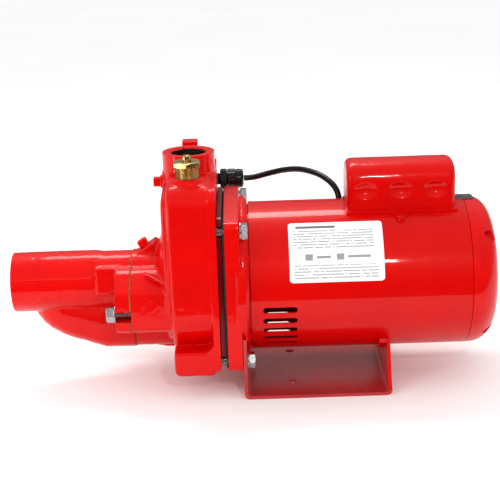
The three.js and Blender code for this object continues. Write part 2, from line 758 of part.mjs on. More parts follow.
// ---- Lead from the pressure switch to the motor ----
const LEAD_END = [88.5, 20, 62];
const LEAD_START = [-3.1, GLAND_Y, GLAND_Z];
const LEAD_POINTS = [
  LEAD_START,
  [8, 97, 73.5],
  [22, 94, 77.5],
  [38, 84, 83],
  [54, 68, 87],
  [70, 49, 86.5],
  [80, 36, 82.5],
  [86, 27, 77],
  [88.5, 21.5, 70],
  LEAD_END,
];

function leadEntry(radius) {
  return alongCurve([[88.5, 21.9, 76], [88.5, 21.5, 70], [88.5, 20, 60]], radius, 16, 4);
}
piece("motor_shell", motorShell(), RED);
piece("cable", alongCurve(LEAD_POINTS, CABLE_R, 8, 34), BLACK);

function rearEndBell() {
  const shoulder = [];
  const roundR = 22;
  for (let i = 0; i <= 6; i++) {
    const a = (i * Math.PI) / 12;
    shoulder.push([
      BELL_REAR_X - roundR + roundR * Math.sin(a),
      SHELL_R - 0.3 - roundR + roundR * Math.cos(a),
    ]);
  }
  const outside = turned([
    [197, 0], [197, 69.2], [205, 69.2], [205, SHELL_R - 0.3], ...shoulder, [BELL_REAR_X, 0],
  ]);
  const hollow = turned([[190, 0], [190, 66], [207, 66], [222, 55], [226.5, 44], [226.5, 0]]);
  const hub = rodX(21.5, 23, 204, 227, 0, 0);
  const posts = [-14, 14].map((y) => rodX(3.4, 3.8, 209.9, 227.5, y, -46));
  const lugs = tieRodPlaces().map(([y, z]) => rodX(6.6, 7, 197.5, 213.5, y * 0.93, z * 0.93));
  const pockets = tieRodPlaces().map(([y, z]) => rodX(5, 5, 212, 240, y, z));
  const holes = tieRodPlaces().map(([y, z]) => rodX(2.7, 2.7, 190, 240, y, z));
  return cut(
    join(cut(outside, hollow), hub, ...posts, ...lugs),
    rodX(17.8, 17.8, 200, 222, 0, 0),
    ...pockets,
    ...holes,
  );
}
piece("rear_end_bell", rearEndBell(), RED);

tieRodPlaces().forEach(([y, z], i) => {
  const rod = join(
    rodX(2.3, 2.3, -8, 212.5, y, z),
    rodX(4.6, 4.6, 212 + GAP, 216.5, y, z, 6),
  );
  piece(`through_bolt_${i + 1}`, rod, ZINC);
});

// ---- Rotor ----
piece("shaft", turned([
  [-71, 0], [-71, 6], [-56.4, 6], [-56.4, SHAFT_R], [-24.5, SHAFT_R], [-24.5, 8.5], [70, 8.5], [70, 11],
  [176, 11], [176, 8.5], [205, 8.5], [205, 7.5], [221.5, 7.5], [221.5, 0],
]), STEEL);
piece("rotor_core", ring(CORE_START_X - 6, CORE_END_X + 6, 11.3, 41.6), IRON);

const SLOT_COUNT = 8;
function statorCore() {
  const core = ring(CORE_START_X, CORE_END_X, 42.2, SHELL_R - SHELL_WALL - GAP);
  const notches = tieRodPlaces().map(([y, z]) => rodX(2.9, 2.9, CORE_START_X - 1, CORE_END_X + 1, y, z));
  const slots = [];
  for (let i = 0; i < SLOT_COUNT; i++) {
    const slot = block(CORE_START_X - 1, CORE_END_X + 1, 46, 57, -3.6, 3.6);
    slots.push(turnX(slot, ((i + 0.5) * 2 * Math.PI) / SLOT_COUNT));
  }
  return cut(core, ...notches, ...slots);
}
piece("stator_core", statorCore(), IRON);

function statorWinding() {
  const overhang = (x0, x1) => turned([
    [x0, 46], [x0, 55], [x0 + 5, 60], [x1 - 3, 60], [x1, 57], [x1, 46.5],
  ]);
  const front = overhang(CORE_START_X - 22, CORE_START_X - 0.5);
  const rear = moved(front, new THREE.Matrix4().makeScale(-1, 1, 1)
    .setPosition(CORE_START_X + CORE_END_X, 0, 0));
  const bars = [];
  for (let i = 0; i < SLOT_COUNT; i++) {
    const bar = block(CORE_START_X - 2, CORE_END_X + 2, 46.5, 56.5, -3.1, 3.1);
    bars.push(turnX(bar, ((i + 0.5) * 2 * Math.PI) / SLOT_COUNT));
  }
  return join(front, rear, ...bars);
}
piece("stator_winding", statorWinding(), COPPER);

function coolingFan() {
  const parts = [ring(47, 65, 8.8, 14), ring(63, 65, 13, 54)];
  const blade = block(49, 64, 13.5, 54, -1.1, 1.1);
  const count = 8;
  for (let i = 0; i < count; i++) parts.push(turnX(blade, (2 * Math.PI * i) / count));
  return join(...parts);
}
piece("cooling_fan", coolingFan(), PLASTIC);

// ---- Centrifugal governor and start switch ----
// Stations along the shaft are counted from the front face of the governor's plate.
const GOVERNOR_X = 177;
const PIVOT_X = GOVERNOR_X + 8;
const PIVOT_Z = 24;
const fromPlate = (points) => points.map(([x, v]) => [GOVERNOR_X + x, v]);

function governorPlate() {
  const earX0 = GOVERNOR_X + 2.5;
  const earX1 = GOVERNOR_X + 11;
  const half = join(
    block(earX0, earX1, -7.2, -4.5, 19.5, 27.5),
    block(earX0, earX1, 4.5, 7.2, 19.5, 27.5),
    block(GOVERNOR_X, GOVERNOR_X + 3, -7.2, 7.2, 16, 25),
    rodY(1.5, -5, 5, PIVOT_X, PIVOT_Z),
  );
  return join(ring(GOVERNOR_X, GOVERNOR_X + 3, 8.8, 22), half, turnX(half, Math.PI));
}
piece("governor_plate", governorPlate(), STEEL);

function governorWeight() {
  const outline = polygon(fromPlate([
    [-9, 27.5], [-9, 33], [10, 33], [15.8, 24], [15.8, 13], [13.9, 13], [13.9, 19.5], [6, 19.5], [6, 27.5],
  ]));
  return cut(slabY(outline, 0, 8), rodY(1.95, -6, 6, PIVOT_X, PIVOT_Z));
}
piece("governor_weight_a", governorWeight(), STEEL);
piece("governor_weight_b", turnX(governorWeight(), Math.PI), STEEL);

piece("governor_collar", turned(fromPlate([
  [11, 8.9], [11, 16], [13, 16], [13, 10.5], [16.8, 10.5], [16.8, 15], [19, 15], [19, 8.9],
])), PLASTIC);

const ARM_PIVOT_X = GOVERNOR_X + 25;
const ARM_PIVOT_Z = -42;
const BOARD_X = GOVERNOR_X + 29;
const BOARD_REAR_X = BOARD_X + 3.6;
function startSwitch() {
  return join(
    block(BOARD_X, BOARD_REAR_X, -20, 20, -54, -34),
    block(BOARD_X - 8, BOARD_X + 0.1, -8.2, -5.5, -47, -37),
    block(BOARD_X - 8, BOARD_X + 0.1, 5.5, 8.2, -47, -37),
    rodY(1.5, -6, 6, ARM_PIVOT_X, ARM_PIVOT_Z),
  );
}
piece("start_switch", startSwitch(), BLACK);

function startSwitchArm() {
  const outline = polygon(fromPlate([
    [21.6, -46], [27, -46], [27, -38.5], [21.3, -37], [21.3, -12], [19.4, -12], [19.4, -44],
  ]));
  return cut(slabY(outline, 0, 9.6), rodY(1.95, -6, 6, ARM_PIVOT_X, ARM_PIVOT_Z));
}
piece("start_switch_arm", startSwitchArm(), COPPER);

// ---- Capacitor and its cover ----
const COVER_X0 = 93;
const COVER_X1 = 195;
function coverOutline(inset) {
  const half = 25.5 - inset;
  const shape = new THREE.Shape();
  shape.moveTo(-half, 50);
  shape.lineTo(half, 50);
  shape.lineTo(half, 90);
  shape.bezierCurveTo(half, 106 - inset, 17, 112 - inset, 0, 112 - inset);
  shape.bezierCurveTo(-17, 112 - inset, -half, 106 - inset, -half, 90);
  shape.closePath();
  return shape;
}

function capacitorCover() {
  const seat = rodX(SHELL_R + GAP, SHELL_R + GAP, 60, 240, 0, 0);
  const shellBand = ring(COVER_X0 - 1, COVER_X1 + 1, SHELL_R + GAP, SHELL_R + 2);
  const lip = shellBand.intersect(block(COVER_X0 - 1, COVER_X1 + 1, -29, 29, 40, 90));
  const tabShape = polygon([[132, 27], [152, 27], [145, 40], [139, 40]]);
  const tabs = [1, -1].map((side) => {
    const prism = new THREE.ExtrudeGeometry(tabShape, { depth: 60, bevelEnabled: false });
    prism.translate(0, 0, 40);
    const tool = solid(prism);
    return shellBand.intersect(side > 0 ? tool : mirrorY(tool));
  });
  const outside = join(slabX(coverOutline(0), COVER_X0, COVER_X1, 5), lip, ...tabs);
  const inside = slabX(coverOutline(1.8), COVER_X0 + 2, COVER_X1 - 2, 4);
  const holes = [1, -1].map((side) => screwPlace(rodZ(2.4, 2.4, 60, 90, 142, 0), side));
  return cut(outside, inside, seat, ...holes);
}

// Turns a radial piece at the top of the shell down to the cover's screw tab.
function screwPlace(body, side) {
  return turnX(body, side * THREE.MathUtils.degToRad(-29.5));
}
piece("capacitor_cover", capacitorCover(), RED);
piece("capacitor", rodX(17, 17, 103, 186, 0, 91.8), BLACK);
for (const [name, side] of [["near", -1], ["far", 1]]) {
  const screw = rodZ(4.2, 3.2, SHELL_R + 2 + GAP, SHELL_R + 4.3, 142, 0)
    .add(rodZ(2, 2, SHELL_R + GAP, SHELL_R + 3, 142, 0));
  piece(`cover_screw_${name}`, screwPlace(screw, side), ZINC);
}

// ---- Sheet-steel base ----
const PLATE_Z = -SHAFT_HEIGHT;
function motorBase() {
  const legFront = FLANGE_REAR_X + GAP;
  const plate = block(legFront, BASE_REAR_X, -BASE_HALF_WIDTH, BASE_HALF_WIDTH, PLATE_Z, PLATE_Z + SHEET);
  const frontLeg = block(legFront, legFront + SHEET, -BASE_HALF_WIDTH, BASE_HALF_WIDTH, PLATE_Z, -40);
  const rearShape = polygon([[-68, PLATE_Z], [68, PLATE_Z], [50, -52], [-50, -52]]);
  const rearLeg = slabX(rearShape, BASE_REAR_X - SHEET, BASE_REAR_X);
  const saddleBand = ring(BASE_REAR_X - 10, BASE_REAR_X + 2, SHELL_R + GAP, SHELL_R + 3.2);
  const saddle = saddleBand.intersect(block(90, 140, -50, 50, -80, -40));
  const holes = [];
  for (const y of [-39, 39]) holes.push(rodZ(4.2, 4.2, PLATE_Z - 1, PLATE_Z + 5, 38, y));
  const skirtClearance = rodX(78.2, 78.2, -12, 0, 0, 0);
  const shellClearance = rodX(SHELL_R + GAP, SHELL_R + GAP, 90, 140, 0, 0);
  const boltHoles = [-1, 1].map((side) => rodX(BOLT_HOLE_R, BOLT_HOLE_R, -10, 0, side * BOLT_Y, -BOLT_Z));
  return cut(
    join(plate, frontLeg, rearLeg, saddle),
    skirtClearance,
    shellClearance,
    ...holes,
    ...boltHoles,
  );
}
piece("motor_base", motorBase(), RED);

// ---- Pressure switch behind the casing ----
function switchElbow() {
  return join(
    rodY(6.5, 62, 82, -60, 5),
    rodY(9.5, 74 + GAP, 100, -60, 5),
    rodZ(9.5, 9.5, -6, 18, -60, 100),
    rodZ(6.5, 6.5, 17, 24, -60, 100),
  );
}
piece("switch_elbow", switchElbow(), ZINC);

const SWITCH = { x0: -84, x1: -35, y0: 79, y1: 131, z0: 26, z1: 84 };
function switchBase() {
  const floor = block(SWITCH.x0, SWITCH.x1, SWITCH.y0, SWITCH.y1, SWITCH.z0, SWITCH.z0 + 4);
  const spud = rodZ(9.5, 9.5, 19, SWITCH.z0 + 1, -60, 100);
  const works = block(SWITCH.x0 + 8, SWITCH.x1 - 12, SWITCH.y0 + 8, SWITCH.y1 - 8, SWITCH.z0 + 3.9, 60);
  return cut(join(floor, spud, works), rodZ(6.8, 6.8, 18, 25.5, -60, 100));
}
piece("switch_base", switchBase(), IRON);

function switchCover() {
  const z0 = SWITCH.z0 + 4 + GAP;
  const outside = block(SWITCH.x0, SWITCH.x1, SWITCH.y0, SWITCH.y1, z0, SWITCH.z1);
  const inside = block(SWITCH.x0 + 2, SWITCH.x1 - 2, SWITCH.y0 + 2, SWITCH.y1 - 2, z0 - 1, SWITCH.z1 - 2);
  const hole = rodX(6.6, 6.6, SWITCH.x1 - 4, SWITCH.x1 + 2, GLAND_Y, GLAND_Z);
  return cut(outside, inside, hole);
}
piece("switch_cover", switchCover(), IRON);

function glandBody() {
  const body = join(
    rodX(6.2, 6.2, -42, -20, GLAND_Y, GLAND_Z),
    rodX(10.8, 10.8, -27.5, -20.5, GLAND_Y, GLAND_Z, 6),
  );
  const bore = rodX(CABLE_R + GAP, CABLE_R + GAP, -43, -19, GLAND_Y, GLAND_Z);
  const locknut = rodX(9.6, 9.6, SWITCH.x1 + GAP, -31, GLAND_Y, GLAND_Z, 6);
  return cut(join(body, locknut), bore);
}
piece("gland_body", glandBody(), BLACK);

function glandNut() {
  const nut = turned([
    [-20.2, 0], [-20.2, 10.4], [-12, 10.4], [-4.8, 10], [-3.4, 8.4], [-3.4, 0],
  ]);
  return cut(
    moved(nut, new THREE.Matrix4().makeTranslation(0, GLAND_Y, GLAND_Z)),
    rodX(6.5, 6.5, -21, -19.7, GLAND_Y, GLAND_Z),
    rodX(CABLE_R + GAP, CABLE_R + GAP, -21, -3, GLAND_Y, GLAND_Z),
  );
}
piece("gland_nut", glandNut(), BLACK);

export default pump;
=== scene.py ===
"""The looks of a convertible jet pump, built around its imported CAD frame.

Pieces are drawn in millimetres about the shaft: x = 0 is the front edge of the motor shell, +x runs
to the motor's rear, y = 0 is the middle and z = 0 is the shaft axis. dress() turns a finished piece
into metres in the row frame, and lets it stand for the CAD node of the same name.
"""
import json
from math import atan2, ceil, copysign, cos, degrees, exp, hypot, pi, radians, sin, sqrt, tan

import bmesh
import bpy
from mathutils import Matrix, Vector, noise

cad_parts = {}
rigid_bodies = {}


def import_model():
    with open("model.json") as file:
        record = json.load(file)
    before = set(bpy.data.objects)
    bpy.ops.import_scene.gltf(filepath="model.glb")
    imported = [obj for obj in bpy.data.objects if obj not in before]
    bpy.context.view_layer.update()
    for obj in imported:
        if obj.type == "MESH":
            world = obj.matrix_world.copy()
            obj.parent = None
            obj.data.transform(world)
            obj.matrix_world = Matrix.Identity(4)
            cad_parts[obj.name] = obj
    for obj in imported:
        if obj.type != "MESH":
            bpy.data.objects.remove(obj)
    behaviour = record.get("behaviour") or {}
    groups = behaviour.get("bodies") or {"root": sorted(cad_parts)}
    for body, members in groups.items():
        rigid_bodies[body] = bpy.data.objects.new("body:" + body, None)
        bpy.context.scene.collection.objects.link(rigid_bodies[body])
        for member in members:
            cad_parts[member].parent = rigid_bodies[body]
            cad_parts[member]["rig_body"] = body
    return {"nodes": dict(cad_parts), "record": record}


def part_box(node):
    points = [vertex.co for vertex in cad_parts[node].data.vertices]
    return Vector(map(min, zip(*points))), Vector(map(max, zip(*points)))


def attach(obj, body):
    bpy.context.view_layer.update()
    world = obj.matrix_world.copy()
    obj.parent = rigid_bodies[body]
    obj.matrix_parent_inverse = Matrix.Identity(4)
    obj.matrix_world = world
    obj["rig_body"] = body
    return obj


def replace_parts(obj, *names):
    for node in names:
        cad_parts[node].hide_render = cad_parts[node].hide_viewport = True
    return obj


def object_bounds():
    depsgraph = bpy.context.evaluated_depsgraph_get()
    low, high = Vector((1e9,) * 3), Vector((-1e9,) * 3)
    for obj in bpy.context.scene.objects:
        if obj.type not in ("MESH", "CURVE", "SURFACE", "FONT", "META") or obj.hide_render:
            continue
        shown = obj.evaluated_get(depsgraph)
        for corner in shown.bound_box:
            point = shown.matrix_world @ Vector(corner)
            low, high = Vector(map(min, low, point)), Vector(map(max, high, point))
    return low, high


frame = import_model()
cad_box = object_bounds()

# ---- Places ----
MM = 0.001
SHELL_LOW, SHELL_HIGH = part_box("motor_shell")
SHAFT_PLACE = Vector((SHELL_LOW.x, 0, (SHELL_LOW.z + SHELL_HIGH.z) / 2))
TO_ROW = Matrix.Translation(SHAFT_PLACE) @ Matrix.Scale(MM, 4)
TO_SHAFT = TO_ROW.inverted()
SLOT_OF = {part["node"]: part["material_slot"] for part in frame["record"]["subparts"]}


def extent(node):
    """A CAD node's lowest and highest corners, in millimetres about the shaft."""
    low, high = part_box(node)
    return TO_SHAFT @ low, TO_SHAFT @ high


INLET_X, JOINT_X = [corner.x for corner in extent("ejector_body")]
NECK_X, CASING_REAR_X = [corner.x for corner in extent("pump_casing")]
TOWER_TOP_Z = extent("pump_casing")[1].z
SHELL_R = (SHELL_HIGH.z - SHELL_LOW.z) / (2 * MM)
SHELL_END_X = extent("motor_shell")[1].x
BELL_END_X = extent("rear_end_bell")[1].x
FLANGE_X = extent("front_end_bell")[0].x
BASE_LOW, BASE_HIGH = extent("motor_base")

# ejector and neck
BARREL_R = 29.2
NECK_R = 28
DRIVE_R = 21
DRIVE_Z = -47
SUCTION_R = 16
EAR_Y = 45
EAR_Z = -20
EAR_SLOT_R = 5.1

# casing
BODY_X = -74
RIM_X = -36
HALF_WIDTH = 70
TOP_Z = 108
TOWER_X = -54.4
TOWER_R = 24.8
DISCHARGE_R = 16.6
REGULATOR_X = -54.2
PORT_Y = 40
BOLT_Y = 64
BOLT_Z = 63
BOLT_PLACES = [(y, z) for y in (-BOLT_Y, BOLT_Y) for z in (-BOLT_Z, BOLT_Z)]
BOLT_R = 4.7
BOLT_HOLE_R = 5.2
PRIMING_X = -96.5
PRIMING_Z = 27.2
PRIMING_LEAN = 32.8
TOP_BOSS_Z = 109.2
GAUGE_Z = 96
DRAIN_X = -56
DRAIN_Z = -42
SWITCH_X = -60
SWITCH_Y = 100
SWITCH_PORT_Z = 5

# motor
FLANGE_REAR_X = -8.6
TIE_R = 64.2
VENT_X = 27
VENT_LENGTH = 32
FAR_VENT_LENGTH = 23
VENT_WIDTH = 6.2
VENT_STEP = 9.5
NEAR_VENTS = [10 + VENT_STEP * i for i in range(5)]
FAR_VENTS = [16.3 + VENT_STEP * i for i in range(7)]

# ---- Mesh helpers ----
FINE = 96


def linked(name, data):
    made = bpy.data.objects.new(name, data)
    bpy.context.scene.collection.objects.link(made)
    return made


def as_object(bm, name="solid"):
    mesh = bpy.data.meshes.new(name)
    bm.to_mesh(mesh)
    bm.free()
    return linked(name, mesh)


def solid(bm):
    """An object holding the closed mesh, with its faces pointing out."""
    bmesh.ops.recalc_face_normals(bm, faces=bm.faces)
    return as_object(bm)


def discard(made):
    mesh = made.data
    bpy.data.objects.remove(made)
    bpy.data.meshes.remove(mesh)


def settle(made):
    """Applies the object's modifiers to its mesh."""
    bpy.context.view_layer.update()
    graph = bpy.context.evaluated_depsgraph_get()
    mesh = bpy.data.meshes.new_from_object(made.evaluated_get(graph))
    made.modifiers.clear()
    old = made.data
    made.data = mesh
    bpy.data.meshes.remove(old)
    return made


def at(x, y, z):
    return Matrix.Translation((x, y, z))


def about(axis, angle):
    """A turn about an axis, in degrees."""
    return Matrix.Rotation(radians(angle), 4, axis)


def moved(made, matrix):
    made.data.transform(matrix)
    if matrix.determinant() < 0:
        made.data.flip_normals()
    return made


def joined(parts):
    """One object holding all the parts' meshes as they are."""
    bm = bmesh.new()
    for part in parts:
        bm.from_mesh(part.data)
        discard(part)
    return as_object(bm)


def combine(body, tools, operation):
    for tool in tools:
        step = body.modifiers.new("combine", "BOOLEAN")
        step.operation = operation
        step.solver = "MANIFOLD"
        step.object = tool
    settle(body)
    for tool in tools:
        discard(tool)
    return body


def cut(body, *tools):
    return combine(body, tools, "DIFFERENCE")


def weld(body, *others):
    return combine(body, others, "UNION")


def common(body, *others):
    return combine(body, others, "INTERSECT")


SAND_WAVE = 13
SAND_HEIGHT = 0.16


def cast(parts, voxel, rounds=3):
    """Merges overlapping solids into one casting: small fillets where they meet, slightly wavy skin."""
    body = joined(parts)
    merge = body.modifiers.new("merge", "REMESH")
    merge.mode = "VOXEL"
    merge.voxel_size = voxel
    fillet = body.modifiers.new("fillet", "SMOOTH")
    fillet.factor = 0.5
    fillet.iterations = rounds
    settle(body)
    shifts = []
    for vertex in body.data.vertices:
        wave = noise.noise(vertex.co / SAND_WAVE) + 0.5 * noise.noise(vertex.co / (0.4 * SAND_WAVE))
        shifts.append(vertex.normal * SAND_HEIGHT * abs(wave))
    for vertex, shift in zip(body.data.vertices, shifts):
        vertex.co -= shift
    return body


def rounded(body, width, segments=2, angle=35):
    """Rounds the edges that are sharper than the angle."""
    bevel = body.modifiers.new("round", "BEVEL")
    bevel.width = width
    bevel.segments = segments
    bevel.limit_method = "ANGLE"
    bevel.angle_limit = radians(angle)
    bevel.use_clamp_overlap = True
    return settle(body)


def merge_flats(body):
    """Joins triangles that lie in one plane, so that flat faces shade flat."""
    step = body.modifiers.new("flats", "DECIMATE")
    step.decimate_type = "DISSOLVE"
    step.angle_limit = radians(0.5)
    return settle(body)


def skin(rings):
    """A closed surface over rings of equal point count, capped at both ends."""
    bm = bmesh.new()
    rows = [[bm.verts.new(point) for point in ring] for ring in rings]
    count = len(rows[0])
    for a, b in zip(rows, rows[1:]):
        for i in range(count):
            j = (i + 1) % count
            bm.faces.new((a[i], a[j], b[j], b[i]))
    bm.faces.new(rows[0])
    bm.faces.new(rows[-1])
    return solid(bm)


def turned(profile, sides=FINE, y=0.0, z=0.0):
    """An outline of (x, radius) points turned about a line along X; it closes, or ends on the line."""
    bm = bmesh.new()
    rows = []
    for x, radius in profile:
        count = sides if radius > 0 else 1
        angles = [2 * pi * i / sides for i in range(count)]
        rows.append([bm.verts.new((x, y + radius * cos(a), z + radius * sin(a))) for a in angles])
    pairs = list(zip(rows, rows[1:]))
    if profile[0][1] > 0 and profile[-1][1] > 0:
        pairs.append((rows[-1], rows[0]))
    for a, b in pairs:
        for i in range(sides):
            j = (i + 1) % sides
            corners = (a[i % len(a)], a[j % len(a)], b[j % len(b)], b[i % len(b)])
            face = list(dict.fromkeys(corners))
            if len(face) > 2:
                bm.faces.new(face)
    return solid(bm)


def rod(radius, x0, x1, y=0.0, z=0.0, sides=FINE):
    return turned([(x0, 0), (x0, radius), (x1, radius), (x1, 0)], sides, y, z)


ONTO_Y = about("Z", 90)
ONTO_Z = about("Y", -90)


def upright(made, x, y, z=0.0):
    """Turns a piece drawn along X about the origin so that it points up at (x, y)."""
    return moved(made, at(x, y, z) @ ONTO_Z)


def rod_up(radius, z0, z1, x, y, sides=FINE):
    return upright(rod(radius, z0, z1, sides=sides), x, y)


def rod_back(radius, y0, y1, x, z, sides=FINE):
    return moved(rod(radius, y0, y1, sides=sides), at(x, 0, z) @ ONTO_Y)


def block(x0, x1, y0, y1, z0, z1):
    return skin([[(x, y0, z0), (x, y1, z0), (x, y1, z1), (x, y0, z1)] for x in (x0, x1)])


def slab(outline, x0, x1):
    """An outline of (y, z) points pushed along X."""
    return skin([[(x, y, z) for y, z in outline] for x in (x0, x1)])


def slab_across(outline, y0, y1):
    """An outline of (x, z) points pushed along Y."""
    return skin([[(x, y, z) for x, z in outline] for y in (y0, y1)])


def arc(cy, cz, radius, start, end, steps=10):
    """Points on a circle between two angles in degrees."""
    angles = [radians(start + (end - start) * i / steps) for i in range(steps + 1)]
    return [(cy + radius * cos(a), cz + radius * sin(a)) for a in angles]


def bow(start, control, end, steps=16):
    """Points of a quadratic curve, without its two ends."""
    points = []
    for i in range(1, steps):
        t = i / steps
        points.append(tuple((1 - t) ** 2 * a + 2 * t * (1 - t) * b + t * t * c
                            for a, b, c in zip(start, control, end)))
    return points


def round_rect(width, height, radius, centre=0.0):
    u = width / 2 - radius
    v = height / 2 - radius
    return (arc(u, centre + v, radius, 0, 90) + arc(-u, centre + v, radius, 90, 180)
            + arc(-u, centre - v, radius, 180, 270) + arc(u, centre - v, radius, 270, 360))


def curve_through(points, steps):
    """A smooth line through the points."""
    knots = [Vector(p) for p in points]
    knots = [2 * knots[0] - knots[1]] + knots + [2 * knots[-1] - knots[-2]]
    line = []
    for a, b, c, d in zip(knots, knots[1:], knots[2:], knots[3:]):
        for i in range(steps):
            t = i / steps
            line.append(0.5 * (2 * b + (c - a) * t + (2 * a - 5 * b + 4 * c - d) * t ** 2
                               + (3 * b - a - 3 * c + d) * t ** 3))
    line.append(knots[-2])
    return line


def tube(points, radius, steps=8):
    """A round rod along a smooth line through the points."""
    sides = 24
    line = curve_through(points, steps)
    side = Vector((0, 0, 1)) if abs((line[1] - line[0]).normalized().z) < 0.9 else Vector((0, 1, 0))
    rings = []
    for i, centre in enumerate(line):
        ahead = (line[min(i + 1, len(line) - 1)] - line[max(i - 1, 0)]).normalized()
        side = (side - ahead * side.dot(ahead)).normalized()
        other = ahead.cross(side)
        rings.append([
            centre + radius * (cos(a) * side + sin(a) * other)
            for a in (2 * pi * k / sides for k in range(sides))
        ])
    return skin(rings)


def threaded(radius, depth, pitch, x0, x1, sides=32):
    """A screw-threaded rod along X; radius is the outer one."""
    steps = ceil((x1 - x0) / pitch * 6)
    rings = []
    for k in range(steps + 1):
        x = x0 + (x1 - x0) * k / steps
        ring = []
        for i in range(sides):
            turn = i / sides
            phase = (x / pitch - turn) % 1
            r = radius - depth * abs(2 * phase - 1)
            a = 2 * pi * turn
            ring.append((x, r * cos(a), r * sin(a)))
        rings.append(ring)
    return skin(rings)


def hex_nut(across, x0, x1):
    """A hexagon along X whose outer corners are turned off at 30 degrees."""
    corner = across / sqrt(3)
    flat = across * 0.475
    slope = (corner - flat) * tan(radians(30))
    clear = corner + 0.1
    prism = slab(arc(0, 0, corner, 0, 300, 5), x0, x1)
    trim = turned([(x0, 0), (x0, flat), (x0 + slope, clear), (x1 - slope, clear), (x1, flat), (x1, 0)], 60)
    return rounded(common(prism, trim), 0.25)


# ---- Showing a piece ----
def smooth_shaded(mesh, sharp_angle):
    """Smooth shading that stays crisp across edges sharper than the angle."""
    bm = bmesh.new()
    bm.from_mesh(mesh)
    limit = radians(sharp_angle)
    for face in bm.faces:
        face.smooth = True
    for edge in bm.edges:
        edge.smooth = len(edge.link_faces) == 2 and edge.calc_face_angle(0) < limit
    bm.to_mesh(mesh)
    bm.free()


def paint(made, material):
    made.data.materials.clear()
    made.data.materials.append(MATERIALS[material])


def present(made, name, body, slot, sharp=38):
    """Moves a finished piece into the row frame and lets it ride on its body."""
    made.name = name
    made.data.name = name
    made.data.transform(TO_ROW)
    smooth_shaded(made.data, sharp)
    flatten = made.modifiers.new("flatten", "WEIGHTED_NORMAL")
    flatten.keep_sharp = True
    paint(made, slot)
    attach(made, body)
    return made


def bare_metal_or_painted_shade(made, slot, is_inside):
    """Gives the faces whose centres pass the test a second material: bare iron in bores, or a painted
    shade.
    """
    made.data.materials.append(MATERIALS[slot])
    for face in made.data.polygons:
        if is_inside(TO_SHAFT @ face.center):
            face.material_index = 1


def dress(made, node, sharp=38):
    """Shows a piece in place of the CAD node of that name."""
    body = frame["nodes"][node]["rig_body"]
    present(made, node + "_fine", body, SLOT_OF[node], sharp)
    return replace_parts(made, node)


# ---- Materials ----
MATERIALS = {}


def plain_material(name, colour, roughness, **sockets):
    """Keeps a new Principled material; sockets are named with underscores for spaces."""
    made = bpy.data.materials.new(name)
    MATERIALS[name] = made
    made.use_nodes = True
    shader = made.node_tree.nodes["Principled BSDF"]
    shader.inputs["Base Color"].default_value = (*colour, 1)
    shader.inputs["Roughness"].default_value = roughness
    for socket, value in sockets.items():
        shader.inputs[socket.replace("_", " ")].default_value = value
    return made.node_tree, shader


def node(tree, kind, **settings):
    """A new shader node; each setting is an input's value or a property."""
    made = tree.nodes.new("ShaderNode" + kind)
    for key, value in settings.items():
        if key in made.inputs:
            made.inputs[key].default_value = value
        else:
            setattr(made, key, value)
    return made


def wire(output, socket):
    output.id_data.links.new(output, socket)


def place_vector(tree, stretch=(1, 1, 1)):
    """Positions on the piece in metres, stretched for grain that runs one way."""
    mapping = node(tree, "Mapping", Scale=stretch)
    wire(node(tree, "TexCoord").outputs["Object"], mapping.inputs["Vector"])
    return mapping.outputs["Vector"]


def grain(tree, vector, scale, detail=3.0, rough=0.55):
    texture = node(tree, "TexNoise", Scale=scale, Detail=detail, Roughness=rough)
    wire(vector, texture.inputs["Vector"])
    return texture.outputs["Fac"]


def bump(tree, shader, height, distance, strength=1.0, before=None):
    made = node(tree, "Bump", Distance=distance, Strength=strength)
    wire(height, made.inputs["Height"])
    if before is not None:
        wire(before.outputs["Normal"], made.inputs["Normal"])
    wire(made.outputs["Normal"], shader.inputs["Normal"])
    return made


def ranged(tree, value, low, high, to_low, to_high):
    limits = {"From Min": low, "From Max": high, "To Min": to_low, "To Max": to_high}
    made = node(tree, "MapRange", **limits)
    wire(value, made.inputs["Value"])
    return made.outputs["Result"]


def two_tone(tree, shader, value, dark, light):
    ramp = node(tree, "ValToRGB")
    for stop, colour, position in zip(ramp.color_ramp.elements, (dark, light), (0.3, 0.7)):
        stop.color = (*colour, 1)
        stop.position = position
    wire(value, ramp.inputs["Fac"])
    wire(ramp.outputs["Color"], shader.inputs["Base Color"])


def enamel(name, dark, light, wave, wave_height, pit, pit_height, coat, coat_roughness):
    """Glossy red enamel: slow waves in the paint film over the texture of what lies under it."""
    tree, shader = plain_material(
        name, light, 0.3, Coat_Weight=coat, Coat_Roughness=coat_roughness, Specular_IOR_Level=0.2,
        Specular_Tint=(1, 0.2, 0.15, 1),
    )
    vector = place_vector(tree)
    two_tone(tree, shader, grain(tree, vector, 18, 2), dark, light)
    wire(ranged(tree, grain(tree, vector, 60, 4), 0.3, 0.7, 0.26, 0.4), shader.inputs["Roughness"])
    slow = bump(tree, shader, grain(tree, vector, wave, 2), wave_height)
    bump(tree, shader, grain(tree, vector, pit, 3, 0.6), pit_height, before=slow)


def metal(name, dark, light, roughness, stretch=(1, 1, 1)):
    """Bare or plated metal with fine tool marks along the unstretched directions."""
    tree, shader = plain_material(name, light, roughness, Metallic=1.0)
    marks = grain(tree, place_vector(tree, stretch), 900)
    two_tone(tree, shader, grain(tree, place_vector(tree), 120), dark, light)
    spread = ranged(tree, marks, 0.3, 0.7, roughness * 0.75, roughness * 1.35)
    wire(spread, shader.inputs["Roughness"])
    bump(tree, shader, marks, 0.00002)


def moulded(name, dark, light, roughness, scale=1400, height=0.00003):
    """Moulded plastic, rubber or fibre with a fine spark-eroded surface."""
    tree, shader = plain_material(name, light, roughness, Specular_IOR_Level=0.35)
    vector = place_vector(tree)
    two_tone(tree, shader, grain(tree, vector, 200), dark, light)
    fine = grain(tree, vector, scale, 2)
    spread = ranged(tree, fine, 0.3, 0.7, roughness * 0.85, min(1.0, roughness * 1.2))
    wire(spread, shader.inputs["Roughness"])
    bump(tree, shader, fine, height)


